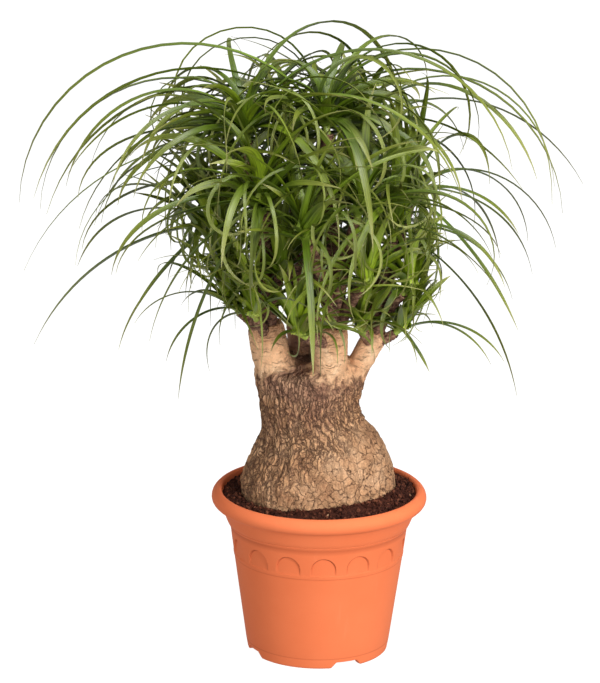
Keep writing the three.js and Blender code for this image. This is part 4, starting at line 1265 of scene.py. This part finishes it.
# %% Leaves that draw the outline
# Head, place of the tip, droop at the tip, bend and width
LONG_LEAVES = [
    ("leaf_head_05", (-372, -30, 584), 178, 0.95, 10),
    ("leaf_head_04", (-350, 30, 560), 178, 0.9, 9),
    ("leaf_head_01", (-315, -50, 546), 176, 0.6, 9),
    ("leaf_head_02", (-312, -80, 618), 168, 0.7, 9),
    ("leaf_head_01", (-358, 20, 388), 156, 0.9, 12),
    ("leaf_head_01", (-307, 90, 470), 160, 1.0, 10),
    ("leaf_head_09", (-330, 60, 600), 172, 0.6, 10),
    ("leaf_head_01", (-238, -60, 440), 145, 0.8, 10),
    ("leaf_head_03", (-208, -150, 445), 168, 1.0, 10),
    ("leaf_head_03", (-174, -120, 362), 174, 0.9, 9),
    ("leaf_sprout_01", (-190, -80, 398), 165, 1.0, 8),
    ("leaf_sprout_01", (-230, -50, 437), 150, 1.0, 8),
    ("leaf_sprout_01", (-174, 10, 444), 150, 1.0, 8),
    ("leaf_head_01", (-192, 40, 466), 172, 1.1, 9),
    ("leaf_head_03", (-223, -130, 539), 150, 1.0, 10),
    ("leaf_head_10", (324, 60, 592), 150, 0.7, 10),
    ("leaf_head_04", (295, -20, 575), 176, 0.95, 10),
    ("leaf_head_02", (230, -60, 640), 170, 0.95, 10),
    ("leaf_head_08", (269, -60, 562), 176, 0.6, 9),
    ("leaf_head_11", (260, 110, 503), 176, 0.65, 9),
    ("leaf_head_08", (223, -90, 500), 160, 1.0, 9),
    ("leaf_head_06", (204, -140, 553), 155, 1.0, 9),
    ("leaf_sprout_05", (209, -70, 395), 150, 0.9, 8),
    ("leaf_sprout_05", (228, -20, 383), 150, 0.9, 8),
    ("leaf_head_08", (245, -10, 336), 168, 0.8, 9),
    ("leaf_sprout_05", (134, -60, 381), 140, 1.0, 7),
    ("leaf_head_11", (246, 20, 412), 155, 0.9, 9),
    ("leaf_head_05", (140, -80, 660), 165, 0.8, 11),
    ("leaf_head_05", (-120, -60, 700), 165, 0.8, 11),
    ("leaf_head_05", (90, 20, 720), 170, 0.9, 10),
    ("leaf_head_02", (-220, -100, 650), 168, 0.7, 11),
    ("leaf_head_02", (-200, 20, 700), 160, 0.7, 11),
    ("leaf_head_05", (60, -190, 570), 174, 0.8, 12),
    ("leaf_head_03", (-120, -230, 560), 174, 0.8, 12),
    ("leaf_head_07", (-10, -240, 430), 168, 1.0, 11),
    ("leaf_head_10", (180, 190, 600), 168, 0.8, 10),
    ("leaf_head_10", (30, 310, 520), 168, 1.0, 10),
    ("leaf_head_09", (-160, 290, 470), 168, 1.0, 10),
    ("leaf_head_11", (230, 220, 450), 165, 1.0, 10),
    ("leaf_head_04", (-100, 250, 640), 168, 0.8, 10),
    ("leaf_head_04", (60, 30, 700), 172, 1.2, 10),
    ("leaf_head_10", (-90, 30, 720), 165, 1.2, 10),
    ("leaf_head_02", (-262, -40, 600), 165, 0.8, 10),
    ("leaf_head_09", (-275, 40, 540), 170, 0.8, 10),
    ("leaf_head_10", (262, -30, 620), 160, 0.8, 10),
    ("leaf_head_11", (290, 20, 520), 168, 0.8, 9),
    ("leaf_head_08", (235, -40, 470), 165, 0.9, 9),
    ("leaf_head_05", (170, -60, 600), 172, 0.9, 10),
    ("leaf_head_02", (98, 60, 675), 178, 0.8, 11),
    ("leaf_head_05", (190, 40, 650), 188, 0.95, 11),
    ("leaf_head_04", (-170, 60, 640), 190, 1.0, 10),
]


def reach_tip(leaf, tip):
    """Sets a leaf's first lean and its length so that it ends at the tip."""
    way = np.array(tip) - leaf["root"]
    flat = math.hypot(way[0], way[1])
    wanted = math.atan2(flat, way[2])
    test = dict(leaf, root=np.zeros(3), azimuth=0, drift=0, length=1.0)
    low, high = -60.0, 170.0
    for _ in range(30):
        test["lean"] = (low + high) / 2
        end = leaf_line(test)[-1]
        if math.atan2(end[0], end[2]) < wanted:
            low = test["lean"]
        else:
            high = test["lean"]
    length = math.hypot(flat, way[2]) / math.hypot(end[0], end[2])
    azimuth = math.degrees(math.atan2(way[1], way[0]))
    return dict(leaf, azimuth=azimuth, drift=0, lean=test["lean"], length=length)


# %% [markdown]
# The frame bends each leaf a little further, again and again, until it is clear of the others. To
# find which way it ended up, the same ways are tried here in the same order, and the first one whose
# tip lies on a corner of the head's solid is taken.

# %% Find how each leaf was bent clear
TRIES = 60
TIP_STEP = 9
TURN_STEP = 5.3
NEAR = 0.6


def bent_ways(leaf):
    """The ways that a leaf may take, with the tip of each, in the order they are tried."""
    for attempt in range(TRIES):
        swing = math.ceil(attempt / 2) * (1 if attempt % 2 else -1)
        if "tip" in leaf:
            shift = TIP_STEP * swing
            tip = (leaf["tip"][0], leaf["tip"][1] + shift, leaf["tip"][2] - 0.3 * shift)
            yield tip, lambda tip=tip: reach_tip(leaf, tip)
        else:
            way = dict(leaf)
            way["azimuth"] += TURN_STEP * swing
            way["lean"] = max(3, leaf["lean"] + 4 * (attempt * 7 % 5 - 2))
            way["droop"] += 7 * (attempt * 3 % 5 - 2)
            way["length"] *= 1 - 0.009 * attempt
            yield tuple(leaf_line(way)[-1]), lambda way=way: way


# %% The plan, as grown
LONG_HOLD = 0.6
SLIMMER = 0.86

plan = []
by_name = {head["name"]: head for head in HEADS}
for i, (name, tip, droop, bend, width) in enumerate(LONG_LEAVES):
    head = by_name[name]
    azimuth = math.degrees(math.atan2(tip[1] - head["at"][1], tip[0] - head["at"][0]))
    leaf = {"tip": tip, "droop": droop, "bend": bend, "width": width, "azimuth": azimuth}
    leaf.update(twist=30 * (i % 3 - 1), height=0.45, hold=LONG_HOLD, tint=0.4 + 0.06 * (i % 3))
    plan.append((head, leaf))
for rank in range(max(head["leaves"] for head in HEADS)):
    for head in HEADS:
        if rank < head["leaves"]:
            plan.append((head, ruled_leaf(head, rank, head["leaves"], draw)))

corner_trees = {}
for head in HEADS:
    head["grown"] = []
    solid = bpy.data.objects[head["name"]]
    tree = kdtree.KDTree(len(solid.data.vertices))
    for k, vertex in enumerate(solid.data.vertices):
        tree.insert(vertex.co / MM, k)
    tree.balance()
    corner_trees[head["name"]] = tree
missed = 0
for head, leaf in plan:
    leaf["root"] = leaf_root(head, leaf)
    for tip, way in bent_ways(leaf):
        if corner_trees[head["name"]].find(tip)[2] < NEAR:
            head["grown"].append(dict(way(), width=leaf["width"] * (1 if "tip" in leaf else SLIMMER)))
            break
    else:
        missed += 1
print("leaves found in the frame:", len(plan) - missed, "not found:", missed)

# %% [markdown]
# ### Leaves in between
# The frame holds the leaves that give each head its shape. A real head has more, so finer leaves
# grow in between, with draws of their own. Long leaves get companions, mostly slimmer, with nearly
# the same tip. High arcs close the top of the crown. Every head gets a rosette of broad leaves, and
# whips: thin old leaves that loop and curl. Both keep inside the crown's outline, all but their tips,
# and they and the companions keep clear of the foot.

# %% Outline of the crown
# Height, and how far the leafy middle reaches to the left and right there
OUTLINE = np.array([
    (390, -90, 120), (440, -130, 150), (480, -165, 155), (520, -182, 155), (576, -222, 150),
    (624, -240, 148), (681, -238, 148), (725, -200, 130), (755, -130, 90), (792, -60, 50),
])
OUTLINE_DEPTH = 215
CROWN_TOP = 792
ARC_TOP = 799
HEAD_SKIRT, SPROUT_SKIRT = 492, 440
# Head, place of the tip, droop at the tip and width
TOP_ARCS = [
    ("leaf_head_10", (-70, 90, 700), 180, 13),
    ("leaf_head_10", (120, 90, 690), 178, 13),
    ("leaf_head_10", (20, 70, 710), 182, 12),
    ("leaf_head_04", (70, 80, 700), 180, 13),
    ("leaf_head_04", (-140, 80, 690), 178, 13),
    ("leaf_head_04", (-10, 90, 710), 180, 12),
    ("leaf_head_09", (-190, 90, 640), 176, 12),
    ("leaf_head_05", (92, -60, 664), 176, 14),
    ("leaf_head_05", (-62, -60, 690), 178, 14),
    ("leaf_head_05", (64, -10, 704), 186, 13),
    ("leaf_head_05", (-96, -90, 640), 176, 13),
    ("leaf_head_05", (40, -110, 650), 180, 13),
    ("leaf_head_10", (-30, 10, 690), 176, 13),
    ("leaf_head_10", (120, 40, 680), 176, 12),
    ("leaf_head_04", (-110, 10, 700), 176, 13),
    ("leaf_head_04", (30, 20, 700), 180, 12),
    ("leaf_head_02", (-20, -70, 650), 178, 14),
    ("leaf_head_02", (-170, -70, 660), 176, 13),
    ("leaf_head_02", (-210, -20, 640), 178, 12),
    ("leaf_head_02", (-250, -60, 590), 172, 12),
    ("leaf_head_02", (-300, -30, 590), 176, 11),
    ("leaf_head_01", (-280, 0, 560), 176, 11),
    ("leaf_head_03", (-250, -120, 520), 170, 12),
    ("leaf_head_01", (-250, -40, 400), 165, 11),
    ("leaf_head_09", (-300, 60, 500), 172, 11),
]
more = np.random.default_rng(7)
print("arcs over the top:", len(TOP_ARCS))

# %% What a leaf keeps clear of
CLEAR_OF_FOOT = 5
# The camera looks down a little, so what lies further back is seen higher
SEEN_HIGHER = 0.3
# Share of a leaf inside the outline, how far out its rest may be, and where lone spikes would show
INSIDE, FURTHEST_OUT = 0.86, 1.35
SPIKE_FROM, SPIKE_HEIGHT = 740, 20
STUMPS_MIDDLE, STUMPS_ASIDE, STUMPS_BACK = -5, 125, 20
BELOW_ROOT = 16
solid_mesh = bpy.data.objects["trunk"].data
solid_foot = bvhtree.BVHTree.FromPolygons(
    [vertex.co / MM for vertex in solid_mesh.vertices],
    [tuple(face.vertices) for face in solid_mesh.polygons],
)


def clear_of_foot(line):
    """Whether a leaf keeps its distance from the foot and stumps, past its own root."""
    for p in line[9::4]:
        spot, normal, _, _ = solid_foot.find_nearest(Vector(p))
        if (Vector(p) - spot).dot(normal) < CLEAR_OF_FOOT:
            return False
    return True


def in_outline(line):
    """The leafy middle is broad above the fork and narrow at the top; only tips reach outside."""
    level = line[:, 2] + SEEN_HIGHER * line[:, 1]
    left, right = (np.interp(level, OUTLINE[:, 0], OUTLINE[:, k]) for k in (1, 2))
    off_x = (line[:, 0] - (left + right) / 2) / ((right - left) / 2)
    off = np.hypot(off_x, line[:, 1] / OUTLINE_DEPTH)
    top = line[:, 2].max()
    spike = top > SPIKE_FROM and line[-1, 2] > top - SPIKE_HEIGHT
    inside = (off < 1).mean() > INSIDE and off.max() < FURTHEST_OUT
    return bool(inside and top < CROWN_TOP and not spike)


def above_stumps(line, skirt):
    """Few leaves hang in front of the sprouts and stumps, so that they stay in view."""
    front = (np.abs(line[:, 0] - STUMPS_MIDDLE) < STUMPS_ASIDE) & (line[:, 1] < STUMPS_BACK)
    return not (front & (line[:, 2] < min(skirt, line[0, 2] - BELOW_ROOT))).any()


print("corners of the frame's trunk:", len(solid_mesh.vertices))


# %% Companions of the long leaves
# Furthest left, front and low, and furthest right, back and high, that a companion's tip may be
TIPS_FROM, TIPS_TO = (-368, -236, 330), (320, 305, 780)
TIP_SHARE = (0.93, 0.93, 0.98)
TIP_SPREAD = (26, 34, 30)
FAR_OUT, HIGH, HIGH_ON_THE_LEFT = 150, 480, 560


def companions(tip):
    """Two for a tip high on the left, one for others that are high and far out, else none."""
    if tip[0] < -FAR_OUT and tip[2] > HIGH_ON_THE_LEFT:
        return 2
    return int(abs(tip[0]) > FAR_OUT and tip[2] > HIGH)


for name, tip, droop, bend, width in LONG_LEAVES:
    head = by_name[name]
    for _ in range(companions(tip)):
        shift = more.normal(0, 1, 3) * TIP_SPREAD
        near = np.clip(np.array(tip) * TIP_SHARE + shift, TIPS_FROM, TIPS_TO)
        azimuth = math.degrees(math.atan2(near[1] - head["at"][1], near[0] - head["at"][0]))
        leaf = {"droop": droop + 60 * (more.random() - 0.5), "azimuth": azimuth}
        leaf["bend"] = bend * (0.75 + 0.6 * more.random())
        leaf.update(width=width * (0.6 + 0.5 * more.random()), height=0.2 + 0.6 * more.random())
        leaf.update(twist=160 * (more.random() - 0.5), root=leaf_root(head, leaf), hold=LONG_HOLD)
        way = reach_tip(leaf, near)
        way["drift"] = 140 * (more.random() - 0.5)
        way["azimuth"] -= 0.3 * way["drift"]
        line = leaf_line(way)
        if line[:, 2].max() < CROWN_TOP and clear_of_foot(line):
            head["grown"].append(way)
print("leaves and companions:", sum(len(head["grown"]) for head in HEADS))

# %% Arcs over the top
# Of the bends from a tall arc to a low one, the first that stays under the top is taken
ARC_BENDS = np.arange(2.4, 0.5, -0.15)
for name, tip, droop, width in TOP_ARCS:
    head = by_name[name]
    azimuth = math.degrees(math.atan2(tip[1] - head["at"][1], tip[0] - head["at"][0]))
    leaf = {"droop": droop, "azimuth": azimuth, "width": width, "height": 0.7}
    leaf.update(tint=0.5, hold=LONG_HOLD)
    leaf.update(twist=120 * (more.random() - 0.5), root=leaf_root(head, leaf))
    for bend in ARC_BENDS:
        way = reach_tip(dict(leaf, bend=bend), tip)
        if leaf_line(way)[:, 2].max() < ARC_TOP:
            head["grown"].append(way)
            break
print("leaves with the arcs:", sum(len(head["grown"]) for head in HEADS))

# %% Rosettes and whips
HEAD_EXTRA, HEAD_WHIPS = 36, 0.42
SPROUT_EXTRA, SPROUT_WHIPS = 28, 0.18
EXTRA_TURN = 68.7
EXTRA_TRIES = 10
TURN_ASIDE = 17
SHORTEN = 0.93


def make_whip(leaf, head, rank):
    """A thin old leaf, thrown out to the left or right, that loops and curls."""
    leaf["azimuth"] = 180 * (rank % 2) + 110 * (more.random() - 0.5)
    leaf["length"] = head["reach"][1] * (0.7 + 0.5 * more.random())
    leaf["width"] = head["width"] * (0.22 + 0.16 * more.random())
    leaf["hold"] = 0.7
    leaf["droop"] = 170 + 200 * more.random()
    leaf["drift"] = 150 * (more.random() - 0.5)
    leaf["twist"] = 300 * (more.random() - 0.5)
    leaf["bend"] = 0.9 + 0.5 * more.random()
    leaf["tint"] = 0.6 + 0.35 * more.random()


def make_rosette_leaf(leaf, head, age):
    """A leaf that is the broader and brighter the younger it is."""
    leaf["length"] = head["reach"][1] * (0.38 + 0.42 * more.random())
    leaf["width"] = head["width"] * (0.8 + 0.35 * more.random() + 0.35 * (1 - age))
    leaf["hold"] = 0.4
    leaf["droop"] = leaf["lean"] + 15 + 100 * more.random() ** 1.5
    leaf["drift"] = 90 * (more.random() - 0.5)
    leaf["bend"] = 1.0 + 1.1 * more.random()
    paler = 0.15 * ("sprout" in head["name"])
    leaf["tint"] = np.clip(0.6 * age + 0.5 * (more.random() - 0.3) - paler, 0.0, 0.62)


for head in HEADS:
    sprout = "sprout" in head["name"]
    extra, whips = (SPROUT_EXTRA, SPROUT_WHIPS) if sprout else (HEAD_EXTRA, HEAD_WHIPS)
    skirt = SPROUT_SKIRT if sprout else HEAD_SKIRT
    for rank in range(extra):
        leaf = ruled_leaf(head, rank, extra, more.random, turn=EXTRA_TURN)
        age = (rank + 0.5) / extra
        if more.random() < whips:
            make_whip(leaf, head, rank)
        else:
            make_rosette_leaf(leaf, head, age)
        leaf["height"] = 0.95 - 0.75 * age
        leaf["root"] = leaf_root(head, leaf)
        for _ in range(EXTRA_TRIES):
            line = leaf_line(leaf)
            if in_outline(line) and clear_of_foot(line) and above_stumps(line, skirt):
                head["grown"].append(leaf)
                break
            leaf["azimuth"] += TURN_ASIDE
            leaf["length"] *= SHORTEN
print("leaves in all:", sum(len(head["grown"]) for head in HEADS))

# %% [markdown]
# ### Leaf finish
# A leaf is yellow-green where it clasps the stem, deep green in the middle and pale at its dry tip,
# and satin all over, with fine veins along it. The yellow-green clasp is partly painted light that
# shines through the blade, and the paler outer part partly painted light that the outer arcs catch.
# One green for all would look like plastic, so each leaf has its own tint: young ones are bright,
# mature ones deep green, old ones faded, partly with painted light. The colour ramps read how far
# along the leaf a point is, and the veins how far across.

# %% Leaf finish
leaf_green = Finish("strap leaf")
share = leaf_green.attribute("share")
tint = leaf_green.attribute("tint")
# Along each ramp, the pale clasp is partly painted light through the blade, and the paler outer part
# partly painted light caught by the outer arcs
young = leaf_green.ramp(
    share,
    (0.0, (0.46, 0.54, 0.08)),
    (0.06, (0.32, 0.44, 0.018)),
    (0.35, (0.21, 0.3, 0.01)),
    (0.75, (0.19, 0.24, 0.018)),
    (1.0, (0.34, 0.33, 0.11)),
)
mature = leaf_green.ramp(
    share,
    (0.0, (0.24, 0.33, 0.04)),
    (0.08, (0.1, 0.17, 0.006)),
    (0.45, (0.065, 0.1, 0.005)),
    (0.8, (0.14, 0.165, 0.013)),
    (1.0, (0.26, 0.25, 0.07)),
)
# Old, faded leaves: their pale grey-green is partly fading and partly painted light
faded_with_painted_light = leaf_green.ramp(
    share,
    (0.0, (0.2, 0.28, 0.04)),
    (0.3, (0.15, 0.19, 0.018)),
    (0.7, (0.26, 0.29, 0.05)),
    (1.0, (0.33, 0.33, 0.1)),
)
green = leaf_green.blend(leaf_green.ramp(tint, (0.0, 0.0), (0.45, 1.0)), young, mature)
green = leaf_green.blend(leaf_green.ramp(tint, (0.6, 0.0), (1.0, 1.0)), green, faded_with_painted_light)

# %% Veins along the leaf
across = leaf_green.attribute("across")
veins = leaf_green.add("ShaderNodeCombineXYZ", {"X": across, "Y": share, "Z": tint}).outputs[0]
vein = leaf_green.noise(1.0, detail=3, roughness=0.6, where=veins, stretch=(7, 2.5, 40))
veined = leaf_green.ramp(vein, (0.35, 0.45), (0.5, 0.95), (0.65, 1.55))
green = leaf_green.blend(0.85, green, veined, "MULTIPLY")
leaf_green.connect("Base Color", green)
leaf_green.connect("Roughness", leaf_green.ramp(vein, (0.3, 0.33), (0.7, 0.47)))
leaf_green.connect("Normal", leaf_green.bump(vein, 0.5 * MM, 0.8))
leaf_green.fixed(Specular_IOR_Level=0.6)

# %% [markdown]
# ### Heads
# All leaves of a head clasp one shoot, so a head is one piece: a short tapering core, and the strap
# bent along every leaf's line. Each point keeps how far along and across its leaf it is, and the
# leaf's tint, for the finish.

# %% Heads of leaves
CORE_SIDES = 12
CORE_CUTS = 8
CORE_TINT = 0.35

core_template = ringed_cylinder(CORE_SIDES, CORE_CUTS, "core")
for head in HEADS:
    core_line = np.linspace(head["foot"], head["foot"] + head["along"] * head["core"], CORE_CUTS)
    radius = head["stem"][1] * 0.95
    placed, faces = limb(core_template, core_line, lambda share, turn: radius * (0.65 - 0.45 * share))
    points, all_faces = [placed], list(faces)
    shares = [np.zeros(len(placed))]
    acrosses = [np.cos(np.arctan2(core_template[0][:, 1], core_template[0][:, 0]) * 4)]
    tints = [np.full(len(placed), CORE_TINT)]
    base = len(placed)
    for leaf in head["grown"]:
        points.append(bent_leaf(leaf))
        all_faces += [tuple(base + k for k in face) for face in leaf_faces]
        base += len(leaf_points)
        shares.append(leaf_share)
        acrosses.append(leaf_across)
        tint_here = leaf.get("tint", 0.1 + 0.6 * more.random())
        tints.append(np.full(len(leaf_points), tint_here))
    name = head["name"] + "_leaves"
    crown = piece_from([tuple(p) for p in np.concatenate(points) * MM], all_faces, name)
    store(crown, "share", np.concatenate(shares))
    store(crown, "across", np.concatenate(acrosses))
    store(crown, "tint", np.concatenate(tints))
    smooth_by_angle(crown, 65)
    finish_piece(crown, name, leaf_green, "leaf", head["name"])

# %% [markdown]
# ## Sizes
# The dressed plant has to fill the same box as the frame, so both boxes are written down.

# %% Write the sizes and finish
boxes = {"cad": cad_box, "visual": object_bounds()}
{key: [list(corner) for corner in box] for key, box in boxes.items()}
for key, box in boxes.items():
    print(key, [[round(value, 4) for value in corner] for corner in box])
